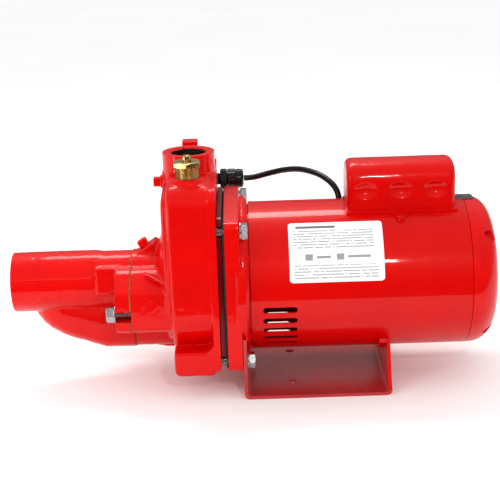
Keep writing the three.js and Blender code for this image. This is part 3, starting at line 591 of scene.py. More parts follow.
def banded(name, colour, dark, per_metre, roughness, metallic):
    """Stacked sheets or wound wire: fine bands across the X axis."""
    tree, shader = plain_material(name, colour, roughness, Metallic=metallic)
    wave = node(tree, "TexWave", wave_type="BANDS", bands_direction="X", Scale=per_metre, Distortion=0.4)
    wire(place_vector(tree), wave.inputs["Vector"])
    two_tone(tree, shader, wave.outputs["Fac"], dark, colour)
    bump(tree, shader, wave.outputs["Fac"], 0.0001, 0.6)


enamel(
    "cast_red", (0.58, 0, 0), (0.68, 0, 0), wave=90, wave_height=0.0006, pit=420, pit_height=0.0005,
    coat=0.4, coat_roughness=0.08,
)
enamel(
    "sheet_red", (0.55, 0, 0), (0.61, 0, 0), wave=40, wave_height=0.00008, pit=700, pit_height=0.00002,
    coat=0.42, coat_roughness=0.05,
)
# Painted shade: a darker, greyer red for the base plate's top, standing for the shadow under the motor.
enamel(
    "painted_shade_base_red", (0.36, 0.01, 0.012), (0.44, 0.02, 0.022), wave=50, wave_height=0.0001, pit=600,
    pit_height=0.00003, coat=1.0, coat_roughness=0.16,
)
# Painted shade: a near-black red for the seal plate, standing for the shade in the gap between casing and
# motor.
enamel(
    "painted_shade_plate_red", (0.1, 0, 0.002), (0.16, 0, 0.004), wave=50, wave_height=0.0001, pit=600,
    pit_height=0.00003, coat=0.4, coat_roughness=0.16,
)
metal("zinc", (0.4, 0.41, 0.42), (0.62, 0.63, 0.64), 0.28)
metal("steel", (0.38, 0.39, 0.4), (0.58, 0.59, 0.61), 0.3, (30, 1, 1))
metal("bare_iron", (0.035, 0.02, 0.016), (0.07, 0.045, 0.035), 0.55)
banded("laminated_iron", (0.3, 0.3, 0.31), (0.12, 0.12, 0.13), 320, 0.45, 0.8)
metal("brass", (0.58, 0.38, 0.12), (0.86, 0.62, 0.27), 0.24)
banded("copper_wire", (0.62, 0.25, 0.09), (0.3, 0.1, 0.03), 500, 0.3, 0.7)
moulded("ceramic", (0.78, 0.75, 0.68), (0.86, 0.84, 0.79), 0.25, 900, 0.00001)
moulded("carbon", (0.01, 0.01, 0.01), (0.03, 0.03, 0.03), 0.4)
moulded("moulded_grey", (0.035, 0.037, 0.04), (0.06, 0.063, 0.067), 0.45)
moulded("black_plastic", (0.003, 0.003, 0.003), (0.007, 0.007, 0.007), 0.24)
moulded("cable_jacket", (0.003, 0.003, 0.003), (0.006, 0.006, 0.006), 0.26)
moulded("rubber_black", (0.012, 0.011, 0.01), (0.03, 0.028, 0.025), 0.75)
moulded("top_foil", (0.05, 0.05, 0.055), (0.08, 0.08, 0.085), 0.4)
moulded("fibre", (0.2, 0.07, 0.02), (0.42, 0.17, 0.05), 0.85, 700, 0.00008)


# ---- Camera, lights and floor ----
CAMERA_PLACE = Vector((0.8, -1135.3, 378.6))
CAMERA_PITCH = radians(17.3)
CAMERA_ROLL = radians(1.85)
CAMERA_LENS = 88.56


def make_camera():
    data = bpy.data.cameras.new("camera")
    data.lens = CAMERA_LENS
    data.sensor_width = 36
    data.clip_start = 0.05
    camera = linked("camera", data)
    level_right = Vector((1, 0, 0))
    level_up = Vector((0, sin(CAMERA_PITCH), cos(CAMERA_PITCH)))
    back = Vector((0, -cos(CAMERA_PITCH), sin(CAMERA_PITCH)))
    right = level_right * cos(CAMERA_ROLL) - level_up * sin(CAMERA_ROLL)
    up = level_up * cos(CAMERA_ROLL) + level_right * sin(CAMERA_ROLL)
    turn = Matrix((right, up, back)).transposed().to_4x4()
    camera.matrix_world = Matrix.Translation(TO_ROW @ CAMERA_PLACE) @ turn
    bpy.context.scene.camera = camera


def softbox(name, offset, width, height, power):
    """A soft light that stands away from the object's middle and faces it."""
    aim = (cad_box[0] + cad_box[1]) / 2
    place = aim + Vector(offset)
    data = bpy.data.lights.new(name, "AREA")
    data.shape = "RECTANGLE"
    data.size = width
    data.size_y = height
    data.energy = power
    light = linked(name, data)
    light.location = place
    light.rotation_euler = (aim - place).to_track_quat("-Z", "Y").to_euler()


ROOM_LEVEL = 1.05
MIRRORED_LOW = 0.03
MIRRORED_HIGH = 0.5
BACKDROP_LEVEL = 1.0


def make_studio():
    """An even white room, dimmer in shiny surfaces and darkest low down, and small soft lights."""
    world = bpy.data.worlds.new("studio")
    bpy.context.scene.world = world
    world.use_nodes = True
    tree = world.node_tree
    rays = node(tree, "LightPath")
    heading = node(tree, "SeparateXYZ")
    wire(node(tree, "TexCoord").outputs["Generated"], heading.inputs["Vector"])
    mirrored = ranged(tree, heading.outputs["Z"], -0.1, 0.8, MIRRORED_LOW, MIRRORED_HIGH)
    dimmed = node(tree, "Mix", data_type="FLOAT")
    wire(rays.outputs["Is Glossy Ray"], dimmed.inputs[0])
    dimmed.inputs[2].default_value = ROOM_LEVEL
    wire(mirrored, dimmed.inputs[3])
    blend = node(tree, "Mix", data_type="FLOAT")
    wire(rays.outputs["Is Camera Ray"], blend.inputs[0])
    wire(dimmed.outputs[0], blend.inputs[2])
    blend.inputs[3].default_value = BACKDROP_LEVEL
    wire(blend.outputs[0], tree.nodes["Background"].inputs["Strength"])
    tree.nodes["Background"].inputs["Color"].default_value = (1, 1, 1, 1)
    softbox("top_box", (-0.1, 0.5, 0.95), width=0.6, height=0.25, power=5)
    softbox("left_box", (-1.0, -0.9, 0.75), width=0.16, height=0.3, power=2.4)
    softbox("left_strip", (-0.62, -0.3, 0.06), width=0.1, height=0.34, power=0.7)
    softbox("front_spot", (0.25, -1.15, 0.68), width=0.05, height=0.07, power=3.0)


FLOOR_FRONT_Y = -0.29
FLOOR_REACH = 6


def make_floor():
    """A white sheet that reaches far behind the object and ends a little in front of it."""
    bm = bmesh.new()
    front = [(-FLOOR_REACH, FLOOR_FRONT_Y, 0), (FLOOR_REACH, FLOOR_FRONT_Y, 0)]
    back = [(FLOOR_REACH, FLOOR_REACH, 0), (-FLOOR_REACH, FLOOR_REACH, 0)]
    bm.faces.new([bm.verts.new(corner) for corner in front + back])
    floor = as_object(bm, "floor")
    floor.location.z = cad_box[0].z
    tree, shader = plain_material("floor_paper", (0.94, 0.94, 0.94), 0.8, Specular_IOR_Level=0.2)
    two_tone(tree, shader, grain(tree, place_vector(tree), 3, 2), (0.93, 0.93, 0.93), (0.95, 0.95, 0.95))
    floor.data.materials.append(MATERIALS["floor_paper"])


# ---- Ejector ----
def ear_outline():
    """The joint's ears: sloping shoulders from the barrel, rounded bottom corners."""
    tip = 56
    corner = 8
    low = EAR_Z - 17.5
    shoulder = [(20, 19), (33, 19), (38, 16.8), (46, 10.8), (53, 5), (55.3, 2.5), (tip, -1)]
    bottom = arc(tip - corner, low + corner, corner, 0, -90)
    bottom += arc(corner - tip, low + corner, corner, -90, -180)
    return shoulder + bottom + [(-y, z) for y, z in reversed(shoulder)]


def joint_block(x0, x1, barrel_r):
    return [slab(ear_outline(), x0, x1), rod(barrel_r, x0, x1), rod(DRIVE_R, x0, x1, z=DRIVE_Z)]


def ear_slots(x0, x1):
    """Bolt slots that are open at the ears' outer ends."""
    cutters = []
    for side in (-1, 1):
        outline = arc(0, EAR_Z, EAR_SLOT_R, 90, 270) + [(30, EAR_Z - EAR_SLOT_R), (30, EAR_Z + EAR_SLOT_R)]
        cutters.append(slab([(side * (EAR_Y + y), z) for y, z in outline], x0, x1))
    return cutters


# The drive chamber under the barrel: (x, bottom, top, half width) at each station.
CHAMBER = (
    (JOINT_X + 1, -68, -18, 22),
    (-142, -67.5, -17, 23),
    (-152, -64.4, -14.5, 23),
    (-162, -60.6, -12, 22.5),
    (-173, -57.4, -10, 21.8),
    (-183, -53.3, -8, 20.5),
    (-194, -47.2, -5, 17.5),
    (-201, -41.5, -2, 14.5),
    (-207, -34.5, 3, 10),
    (-211, -27, 6, 5),
)
HULL_SQUARENESS = 2.5


def drive_chamber():
    """A boat-shaped hull with full sides."""
    def full(value):
        return copysign(abs(value) ** (2 / HULL_SQUARENESS), value)

    angles = [2 * pi * i / 48 for i in range(48)]
    section = [(full(cos(a)), full(sin(a))) for a in angles]
    return skin([
        [(x, half * y, (top + bottom) / 2 + (top - bottom) / 2 * z) for y, z in section]
        for x, bottom, top, half in CHAMBER
    ])


PAD_TOP_Z = 20
PARTING_HEIGHT = 0.8
PARTING_WIDTH = 0.8
PARTING_Z = 11


def raise_parting_line(body, x0, x1):
    """Lifts the thin flash line that the two halves of the mould leave along both sides of the barrel."""
    for vertex in body.data.vertices:
        x, y, z = vertex.co
        if x0 < x < x1 and abs(y) > BARREL_R * 0.8:
            lift = PARTING_HEIGHT * exp(-((z - PARTING_Z) / PARTING_WIDTH) ** 2)
            vertex.co.y += copysign(lift, y)


def make_ejector():
    barrel = turned([
        (INLET_X - 2, 0), (INLET_X - 2, BARREL_R - 0.4), (INLET_X + 30, BARREL_R), (-150, BARREL_R),
        (-141, NECK_R), (JOINT_X + 2, NECK_R), (JOINT_X + 2, 0),
    ])
    pads = block(-146, -124, -30.6, 30.6, -6, PAD_TOP_Z)
    flange = joint_block(-127, JOINT_X + 2, NECK_R)
    body = cast([barrel, drive_chamber(), pads] + flange, 1.0)
    raise_parting_line(body, INLET_X, -148)
    bore = rod(SUCTION_R, INLET_X - 3, JOINT_X + 3)
    inlet_thread = threaded(20.2, 1.1, 2.3, INLET_X - 3, -205, sides=FINE)
    drive = tube([(JOINT_X + 3, 0, DRIVE_Z), (-145, 0, -46), (-172, 0, -40), (-196, 0, -31)], 10)
    cut(body, inlet_thread, bore, drive, *ear_slots(-129, JOINT_X + 3))
    weld(body, rod_up(8, -26, 9, -196, 0, 48))
    cut(
        body,
        rod_up(4.6, -36, 1, -196, 0, 32),
        rod(6.2, -196, -187.4, sides=32),
        block(INLET_X - 10, INLET_X, -40, 40, -40, 40),
        block(JOINT_X, JOINT_X + 10, -80, 80, -90, 60),
    )
    ejector = dress(body, "ejector_body")
    bare_metal_or_painted_shade(ejector, "bare_iron", lambda p: INLET_X + 0.6 < p.x and hypot(p.y, p.z) < 20.8)


def make_ejector_gasket():
    """A thin fibre sheet with the joint's outline."""
    x0, x1 = [corner.x for corner in extent("ejector_gasket")]
    sheet = weld(*joint_block(x0, x1, NECK_R))
    bores = [rod(SUCTION_R + 1, x0 - 1, x1 + 1), rod(11, x0 - 1, x1 + 1, z=DRIVE_Z)]
    cut(sheet, *bores, *ear_slots(x0 - 1, x1 + 1))
    dress(sheet, "ejector_gasket")


def hex_bolt(seat, tip, across, head_length, washer_r):
    """A flanged hex bolt along X, its head on the far side of the seat from the tip."""
    sign = copysign(1, tip - seat)
    washer_end = seat - sign * 1.6
    head_end = washer_end - sign * head_length
    washer = turned([
        (seat, 0), (seat, washer_r - 0.3), (seat - sign * 0.3, washer_r), (seat - sign * 1.0, washer_r),
        (washer_end, washer_r - 0.9), (washer_end - sign * 0.4, 0),
    ], 48)
    head = hex_nut(across, *sorted((washer_end + sign * 0.2, head_end)))
    shank = threaded(BOLT_R - 0.1, 0.75, 1.6, *sorted((seat - sign * 0.2, tip)))
    return weld(washer, head, shank)


def make_ejector_bolts():
    for name, side in (("near", -1), ("far", 1)):
        bolt = hex_bolt(seat=-127.3, tip=-98, across=14.3, head_length=7.4, washer_r=8.85)
        dress(moved(bolt, at(0, side * EAR_Y, EAR_Z)), "ejector_bolt_" + name)


# ---- Pump casing ----
def tombstone(half, low_r, top, shoulder_r):
    """Round below the shaft, straight sides, a slightly arched top with round shoulders."""
    meet = degrees(atan2(-sqrt(low_r ** 2 - half ** 2), half))
    rise = 3
    shoulder_z = top - rise - shoulder_r
    left = arc(shoulder_r - half, shoulder_z, shoulder_r, 180, 90)
    right = arc(half - shoulder_r, shoulder_z, shoulder_r, 90, 0)
    crown = bow(left[-1], (0, top + rise), right[0])
    return arc(0, 0, low_r, meet, -180 - meet, 48) + left + crown + right


def rounded_slab(outline, x0, x1, radius):
    return rounded(slab(outline, x0, x1), radius, 4, 50)


def leaning(made):
    """Puts a piece drawn pointing up at the origin onto the leaning priming port."""
    return moved(made, at(PRIMING_X, 0, PRIMING_Z) @ about("Y", -PRIMING_LEAN))


def priming_wedge():
    """The port's pad: a wedge behind the joint whose flat top leans towards the inlet."""
    wedge = leaning(block(-22, 12.8, -9, 9, -24, 7))
    return common(wedge, block(NECK_X - 1, -70, -10, 10, 0, 60))


RIB_SLOPE = 0.35


def casing_ribs():
    """A web below the neck and two short ones from the neck's flanks to the casing's face."""
    ribs = [slab_across([(-106, -58), (-106, -66), (-82, -71), (-72, -71), (-72, -54)], -3.5, 3.5)]
    for side in (-1, 1):
        web = [(-99, side * 40), (-99, side * 44), (-77, side * 57), (-77, side * 40)]
        for z in (-2, 17):
            low = [(x, y, z - RIB_SLOPE * (x + 99)) for x, y in web]
            high = [(x, y, z + 3) for x, y, z in low]
            ribs.append(skin([low, high]))
    return ribs


def casing_parts():
    body = rounded_slab(tombstone(HALF_WIDTH, 72, TOP_Z, 20), BODY_X, RIM_X + 1, 4.5)
    face = rounded_slab(tombstone(58, 60, 96, 14), BODY_X - 6, BODY_X + 6, 4)
    dome = turned([(-88, 0), (-88, 34), (-84, 46), (-78, 57), (-70, 60), (-70, 0)])
    rim = slab(round_rect(2 * HALF_WIDTH + 0.4, 179, 12, 13.5), RIM_X, CASING_REAR_X + 2)
    foot_low = [(-73, -52)] + arc(-67, -70, 6, 180, 270, 6)
    foot_high = [(RIM_X + 1, -76), (RIM_X + 1, -46), (-42, -52)]
    foot = rounded(slab_across(foot_low + foot_high, -70.2, 70.2), 2, 3, 50)
    boss = [(95, 0), (95, 17), (106, 16), (109, 14.4), (TOP_BOSS_Z, 13.8), (TOP_BOSS_Z, 0)]
    top_bosses = [upright(turned(boss, 64), REGULATOR_X, y) for y in (-PORT_Y, PORT_Y)]
    tower = rod_up(TOWER_R - 0.1, 60, TOWER_TOP_Z + 2, TOWER_X, 0)
    gauge_boss = turned([(-80, 0), (-80, 11), (-78, 12.5), (-62, 14), (-62, 0)], z=GAUGE_Z)
    drain_boss = rod_back(12, 40, 72, DRAIN_X, DRAIN_Z)
    switch_boss = rod_back(14, 60, 74, SWITCH_X, SWITCH_PORT_Z)
    neck = joint_block(NECK_X - 2, -76, NECK_R + 1)
    return [body, face, dome, rim, foot, tower, gauge_boss, drain_boss, switch_boss, priming_wedge()] \
        + top_bosses + neck + casing_ribs()


def casing_hollow():
    room = slab(tombstone(HALF_WIDTH - 8, 63, TOP_Z - 9, 12), BODY_X + 4, CASING_REAR_X + 3)
    lugs = [rod(10, -50, CASING_REAR_X + 4, side * BOLT_Y, BOLT_Z, 48) for side in (-1, 1)]
    back_wall = block(CASING_REAR_X - 5, CASING_REAR_X + 5, -90, 90, 70, 120)
    return cut(room, rod_up(TOWER_R, 90, TOWER_TOP_Z, TOWER_X, 0), back_wall, *lugs)


def bolt_holes(x0, x1):
    return [rod(BOLT_HOLE_R, x0, x1, y, z, 32) for y, z in BOLT_PLACES]


def make_casing():
    body = cast(casing_parts(), 1.15, 4)
    top = TOWER_TOP_Z
    mouth = [(top - 1.6, 0), (top - 1.6, DISCHARGE_R), (top + 1, DISCHARGE_R + 2.6), (top + 1, 0)]
    cut(
        body,
        casing_hollow(),
        block(CASING_REAR_X, CASING_REAR_X + 10, -90, 90, -90, 120),
        block(NECK_X - 10, NECK_X, -80, 80, -90, 60),
        block(-90, -20, -40, 40, top, top + 10),
    )
    cut(
        body,
        rod(SUCTION_R, NECK_X - 1, -86),
        rod(20, -91.5, -60),
        rod(11, NECK_X - 1, -60, z=DRIVE_Z),
        rod_up(DISCHARGE_R - 0.6, 80, top + 1, TOWER_X, 0),
        upright(threaded(DISCHARGE_R + 0.5, 0.9, 1.8, 98, top + 1, sides=64), TOWER_X, 0),
        upright(turned(mouth), TOWER_X, 0),
    )
    cut(
        body,
        rod(6.8, -82, -64, z=GAUGE_Z, sides=32),
        rod_up(11, 88, 120, REGULATOR_X, -PORT_Y, 48),
        rod_up(13.3, 88, 120, REGULATOR_X, PORT_Y, 48),
        leaning(rod_up(5.9, -24, 12, 0, 0, 32)),
        rod_back(6.8, 40, 75, DRAIN_X, DRAIN_Z, 32),
        rod_back(6.8, 50, 75, SWITCH_X, SWITCH_PORT_Z, 32),
        *bolt_holes(-46, CASING_REAR_X + 1),
        *[rod(BOLT_HOLE_R, NECK_X - 1, -96, side * EAR_Y, EAR_Z, 32) for side in (-1, 1)],
    )
    casing = dress(body, "pump_casing")
    bare_metal_or_painted_shade(casing, "bare_iron", lambda p: (
        90 < p.z < top - 0.6 and hypot(p.x - TOWER_X, p.y) < DISCHARGE_R + 0.7
    ))


def square_plug(thread_r, thread_depth, collar_r, collar_height, across, height):
    """A pipe plug pointing up from its seat at z = 0: thread, round collar, square head."""
    collar = turned([
        (0, 0), (0, collar_r - 0.4), (0.6, collar_r), (collar_height - 1, collar_r),
        (collar_height, collar_r - 1), (collar_height, 0),
    ], 48)
    thread = threaded(thread_r, 0.7, 1.4, -thread_depth, 0.3)
    half = across / 2
    head = rounded(block(-half, half, -half, half, collar_height - 0.5, collar_height + height), 1.1, 3)
    return weld(upright(collar, 0, 0), upright(thread, 0, 0), head)


def small_plug():
    return square_plug(
        thread_r=6.4, thread_depth=7.8, collar_r=6.5, collar_height=2, across=8.4, height=6.5,
    )


def make_plugs():
    priming = square_plug(
        thread_r=5.5, thread_depth=7.8, collar_r=5.6, collar_height=1.2, across=9, height=5.8,
    )
    dress(leaning(moved(priming, at(0, 0, 7.2))), "priming_plug")
    dress(moved(small_plug(), at(-80.2, 0, GAUGE_Z) @ about("Y", -90)), "gauge_plug")
    dress(moved(small_plug(), at(DRAIN_X, 72.2, DRAIN_Z) @ about("X", -90)), "drain_plug")
    vent = square_plug(
        thread_r=13, thread_depth=12, collar_r=12.9, collar_height=6, across=15, height=11,
    )
    dress(moved(vent, at(REGULATOR_X, PORT_Y, TOP_BOSS_Z + 0.3)), "vent_plug")


# ---- Brass regulator ----
def make_regulator():
    port = at(REGULATOR_X, -PORT_Y, 0)
    top = extent("regulator_body")[1].z
    bushing = weld(
        upright(threaded(10.7, 0.8, 1.5, 92.1, top - 5, sides=48), 0, 0),
        upright(hex_nut(23.5, top - 5.5, top), 0, 0),
    )
    cut(bushing, rod_up(3.5, 91, top + 1, 0, 0, 32), rod_up(6, 91, 97, 0, 0, 32))
    dress(moved(bushing, port), "regulator_body")
    foot, tip = [corner.z for corner in extent("regulator_stem")]
    crown = [(top + 0.3, 0), (top + 0.3, 4.2), (tip - 1.2, 4.2), (tip - 0.2, 3.4), (tip, 3), (tip, 0)]
    stem = weld(upright(turned(crown, 48), 0, 0), rod_up(3.2, foot, top + 1, 0, 0, 32))
    flats = [block(side * 3.6, side * 6, -6, 6, top + 2, tip + 1) for side in (-1, 1)]
    cut(stem, block(-6, 6, -0.7, 0.7, tip - 2.6, tip + 1), *flats)
    dress(moved(rounded(stem, 0.15, 1), port), "regulator_stem")


# ---- Plates, gaskets and bolts between the casing and the motor ----
PILOT_R = 46
PLATE_WIDTH = 133
PLATE_HEIGHT = 145.5
PLATE_MIDDLE_Z = 2.2


def make_joint_plates():
    """The rubber gasket at the motor flange, and the plate set back between it and the casing."""
    low, high = extent("casing_gasket")
    back = low.x - 0.3
    sheet = slab(round_rect(141.4, 141.4, 8), low.x, high.x)
    cut(sheet, rod(PILOT_R + 0.3, low.x - 1, high.x + 1), *bolt_holes(low.x - 1, high.x + 1))
    dress(sheet, "casing_gasket")
    front = CASING_REAR_X + 0.3
    plate = rounded(slab(round_rect(PLATE_WIDTH, PLATE_HEIGHT, 13, PLATE_MIDDLE_Z), front, back), 0.6, 2)
    pilot = rod(PILOT_R, back - 0.5, FLANGE_X - 0.3)
    hub = turned([(-40, 0), (-40, 20), (-39, 21), (front + 0.5, 23.5), (front + 0.5, 0)])
    weld(plate, pilot, hub)
    notches = [block(-30, -24, *sorted((side * BOLT_Y, side * 80)), z - BOLT_HOLE_R, z + BOLT_HOLE_R)
               for side in (-1, 1) for z in (-BOLT_Z, BOLT_Z)]
    cut(plate, rod(15.3, -41, -33), rod(9.4, -34, -20), *bolt_holes(-30, -24), *notches)
    # The seal plate is painted near black: painted shade for the gap it sits in.
    paint(dress(plate, "seal_plate"), "painted_shade_plate_red")


def make_casing_bolts():
    places = [(y, z) for z in (BOLT_Z, -BOLT_Z) for y in (-BOLT_Y, BOLT_Y)]
    for number, (y, z) in enumerate(places, 1):
        name = f"casing_bolt_{number}"
        seat = extent(name)[1].x - 7.6
        bolt = hex_bolt(seat, tip=-44, across=13.6, head_length=6, washer_r=8.4)
        dress(moved(bolt, at(0, y, z)), name)


# ---- Motor ----
TIE_PLACES = arc(0, 0, TIE_R, 45, 315, 3)


def flange_outline():
    """A square with round corners, whose top and bottom edges bow outwards."""
    half = 72.5
    corner = 7
    bulge = 88
    inner = half - corner
    top = bow((inner, half), (0, bulge), (-inner, half))
    bottom = [(-y, -z) for y, z in top]
    points = round_rect(2 * half, 2 * half, corner)
    return points[:11] + top + points[11:33] + bottom + points[33:]


def make_front_bell():
    flange = slab(flange_outline(), FLANGE_X - 2, FLANGE_REAR_X)
    skirt = turned([(-12, 0), (-12, 77.3), (-4.5, 77.3), (-0.8, 74.2), (-0.8, 60), (-2, 0)])
    gussets = []
    for angle in (30, -34, 150, 214):
        web = slab_across([(-10, 68), (-10, 84), (0.4, 73.5), (0.4, 68)], -1.8, 1.8)
        gussets.append(moved(web, about("X", angle - 90)))
    hub = turned([(-18, 0), (-18, 25), (-2, 24), (-2, 0)])
    lugs = [rod(4.6, -18, 7, y * 0.985, z * 0.985, 32) for y, z in TIE_PLACES]
    body = cast([flange, skirt] + gussets, 1.1)
    weld(body, turned([(-6, 60), (-6, 69.2), (8, 69.2), (8, 60)]))
    cut(body, turned([(-17, 0), (-17, 64), (9, 66), (9, 0)]))
    weld(body, hub, *lugs)
    pockets = [rod(9.6, FLANGE_REAR_X, 0, y, z, 32) for y, z in BOLT_PLACES]
    cut(
        body,
        block(FLANGE_X - 10, FLANGE_X, -90, 90, -100, 100),
        rod(20.3, -14.3, 0),
        rod(9.6, FLANGE_X - 1, 0),
        *[rod(2.7, -12, 9, y, z, 24) for y, z in TIE_PLACES],
        *bolt_holes(FLANGE_X - 2, -7),
        *pockets,
    )
    dress(body, "front_end_bell")


def vent_cutters():
    half = VENT_WIDTH / 2
    cutters = []
    for mirror, length, angles in ((1, VENT_LENGTH, NEAR_VENTS), (-1, FAR_VENT_LENGTH, FAR_VENTS)):
        reach = length / 2 - half
        outline = arc(VENT_X + reach, 0, half, -90, 90) + arc(VENT_X - reach, 0, half, 90, 270)
        for angle in angles:
            slot = slab_across(outline, -80, -60)
            moved(slot, about("X", angle))
            cutters.append(moved(slot, Matrix.Diagonal((1, mirror, 1, 1))))
    return cutters


LEAD_ENTRY = (88.5, 21.5)


def make_shell():
    outer = SHELL_R
    inner = SHELL_R - 1.5
    tube_wall = turned([
        (0.0, inner), (0.0, outer - 0.3), (0.3, outer), (SHELL_END_X - 0.3, outer),
        (SHELL_END_X, outer - 0.3), (SHELL_END_X, inner),
    ], 160)
    cut(tube_wall, rod_up(3.8, 60, 76, *LEAD_ENTRY, 32), *vent_cutters())
    dress(rounded(tube_wall, 0.35, 2, 50), "motor_shell", 30)


def make_rear_bell():
    shoulder_r = 22
    outer = SHELL_R - 0.3
    shoulder = [
        (BELL_END_X - shoulder_r + x, outer - shoulder_r + r) for r, x in arc(0, 0, shoulder_r, 0, 90, 14)
    ]
    dish = [(BELL_END_X, 46), (BELL_END_X - 0.9, 45), (BELL_END_X - 0.9, 27), (BELL_END_X, 26)]
    profile = [(197, 0), (197, 69.2), (205, 69.2), (205, outer - 0.4), (205.4, outer)]
    end_rings = [(BELL_END_X, radius) for radius in (18, 10, 4, 0)]
    outside = turned(profile + shoulder + dish + end_rings, 128)
    cut(outside, turned([(190, 0), (190, 66), (207, 66), (222, 55), (226.5, 44), (226.5, 0)]))
    hub = turned([(204, 0), (204, 21.5), (227, 23), (227, 0)])
    posts = [rod(3.6, 209.9, 227.5, y, -46, 24) for y in (-14, 14)]
    lugs = [rod(6.8, 197.5, 213.5, y * 0.93, z * 0.93, 32) for y, z in TIE_PLACES]
    weld(outside, hub, *posts, *lugs)
    pockets = [rod(5.2, 212, 240, y, z, 48) for y, z in TIE_PLACES]
    holes = [rod(2.7, 190, 240, y, z, 24) for y, z in TIE_PLACES]
    cut(outside, rod(17.8, 200, 222), *pockets, *holes)
    dress(rounded(merge_flats(outside), 0.4, 2, 40), "rear_end_bell")


def make_through_bolts():
    for number, (y, z) in enumerate(TIE_PLACES, 1):
        shank = weld(rod(2.3, 6, 212.6, sides=24), threaded(2.3, 0.4, 0.8, -8, 6.5, sides=24))
        washer = turned([(212.3, 0), (212.3, 4.6), (212.9, 4.8), (213.3, 4.5), (213.3, 0)], 40)
        head = hex_nut(7.8, 213.1, 216.5)
        dress(moved(weld(shank, washer, head), at(0, y, z)), f"through_bolt_{number}")


# ---- Capacitor cover ----
COVER_LOW, COVER_HIGH = extent("capacitor_cover")
COVER_X0 = COVER_LOW.x + 1
COVER_X1 = COVER_HIGH.x - 1
COVER_HALF = 25.5
COVER_END_R = 6.5
DIMPLE_DEPTH = 3.4
DIMPLE_Z = 87
SCREW_X = 142
SCREW_ANGLE = 29.5


def cover_outline(side_inset=0.0, top_inset=0.0):
    half = COVER_HALF - side_inset
    top = COVER_HIGH.z - top_inset
    side = []
    for i in range(13):
        t = i / 12
        y = (1 - t) ** 3 * half + 3 * t * (1 - t) ** 2 * half + 3 * t * t * (1 - t) * 17
        z = (1 - t) ** 3 * 90 + 3 * t * (1 - t) ** 2 * (top - 6) + 3 * t * t * (1 - t) * top + t ** 3 * top
        side.append((y, z))
    right = [(half, 50)] + side
    left = [(-y, z) for y, z in reversed(right[:-1])]
    return right + left


def press_dimples(body):
    """Three shallow oval hollows along each long side, as the press leaves them."""
    places = [COVER_X0 + (COVER_X1 - COVER_X0) * share for share in (0.17, 0.49, 0.81)]
    for vertex in body.data.vertices:
        x, y, z = vertex.co
        if abs(y) < 15 or z < 76:
            continue
        for place in places:
            across = (x - place) / 12.5
            up = (z - DIMPLE_Z) / 8.5
            reach = across ** 2 + up ** 2
            if reach < 1:
                vertex.co.y -= copysign(DIMPLE_DEPTH * (1 - reach) ** 1.3, y)


def turned_down(made, side):
    """Turns a radial piece from the top of the shell down to the cover's screw tab."""
    return moved(made, about("X", -side * SCREW_ANGLE))


def cover_lip():
    """The cover's foot: a band on the shell with a rolled edge, and a screw tab on each side."""
    seat = SHELL_R + 0.3
    band = turned([
        (COVER_LOW.x, seat), (COVER_LOW.x, seat + 1.4), (COVER_LOW.x + 0.3, seat + 1.7),
        (COVER_HIGH.x - 0.3, seat + 1.7), (COVER_HIGH.x, seat + 1.4), (COVER_HIGH.x, seat),
    ], 240)
    tab = [(27.5, 131), (33, 135.5), (38.6, 139.5), (39.8, 142), (38.6, 144.5), (33, 148.5), (27.5, 153)]
    tools = [block(COVER_LOW.x - 1, COVER_HIGH.x + 1, -29, 29, 40, 90)]
    for side in (1, -1):
        tools.append(skin([[(x, side * y, z) for y, x in tab] for z in (40, 90)]))
    return common(band, weld(*tools))


def make_cover():
    dome = rounded(slab(cover_outline(), COVER_X0, COVER_X1), COVER_END_R, 8, 50)
    roll = rounded(slab(round_rect(2 * 26.9, 60, 3, 38), COVER_X0 - 0.6, COVER_X1 + 0.6), 2, 3)
    body = cast([dome, roll], 1.0)
    press_dimples(body)
    inside = rounded(slab(cover_outline(5.2, 1.9), COVER_X0 + 2, COVER_X1 - 2), COVER_END_R - 2, 5, 50)
    seat = rod(SHELL_R + 0.3, 60, 240, sides=240)
    weld(body, cover_lip())
    holes = [turned_down(rod_up(2.4, 60, 90, SCREW_X, 0, 24), side) for side in (1, -1)]
    cut(body, inside, seat, *holes)
    dress(body, "capacitor_cover")


def make_cover_screws():
    seat = SHELL_R + 2.3
    for name, side in (("near", -1), ("far", 1)):
        dome = [(seat + 0.7, 4.15), (seat + 1.6, 3.3), (seat + 2.0, 1.8), (seat + 2, 0)]
        head = upright(turned([(seat, 0), (seat, 4.1)] + dome, 40), SCREW_X, 0)
        shank = upright(threaded(2, 0.3, 0.8, SHELL_R + 0.4, seat + 0.2, sides=20), SCREW_X, 0)
        weld(head, shank)
        cut(
            head,
            block(SCREW_X - 4, SCREW_X + 4, -0.5, 0.5, seat + 1, seat + 3),
            block(SCREW_X - 0.5, SCREW_X + 0.5, -4, 4, seat + 1, seat + 3),
        )
        paint(dress(turned_down(head, side), "cover_screw_" + name), "sheet_red")


# ---- Sheet-steel base ----
SHEET = 3.2
BASE_HOLE_X = 38
BASE_HOLE_Y = 39


def bent_sheet():
    """The base's steel sheet: a plate, a front leg and a rear leg, with a radius at each bend."""
    x0, x1 = BASE_LOW.x, BASE_HIGH.x
    z0 = BASE_LOW.z
    outer = 5.5
    inner = outer - SHEET
    bend_z = z0 + outer
    outside = arc(x0 + outer, bend_z, outer, 180, 270, 6) + arc(x1 - outer, bend_z, outer, 270, 360, 6)
    inside = arc(x1 - outer, bend_z, inner, 0, -90, 6) + arc(x0 + outer, bend_z, inner, -90, -180, 6)
    outline = [(x0, -40)] + outside + [(x1, -50), (x1 - SHEET, -50)] + inside + [(x0 + SHEET, -40)]
    return slab_across(outline, -BASE_HIGH.y, BASE_HIGH.y)


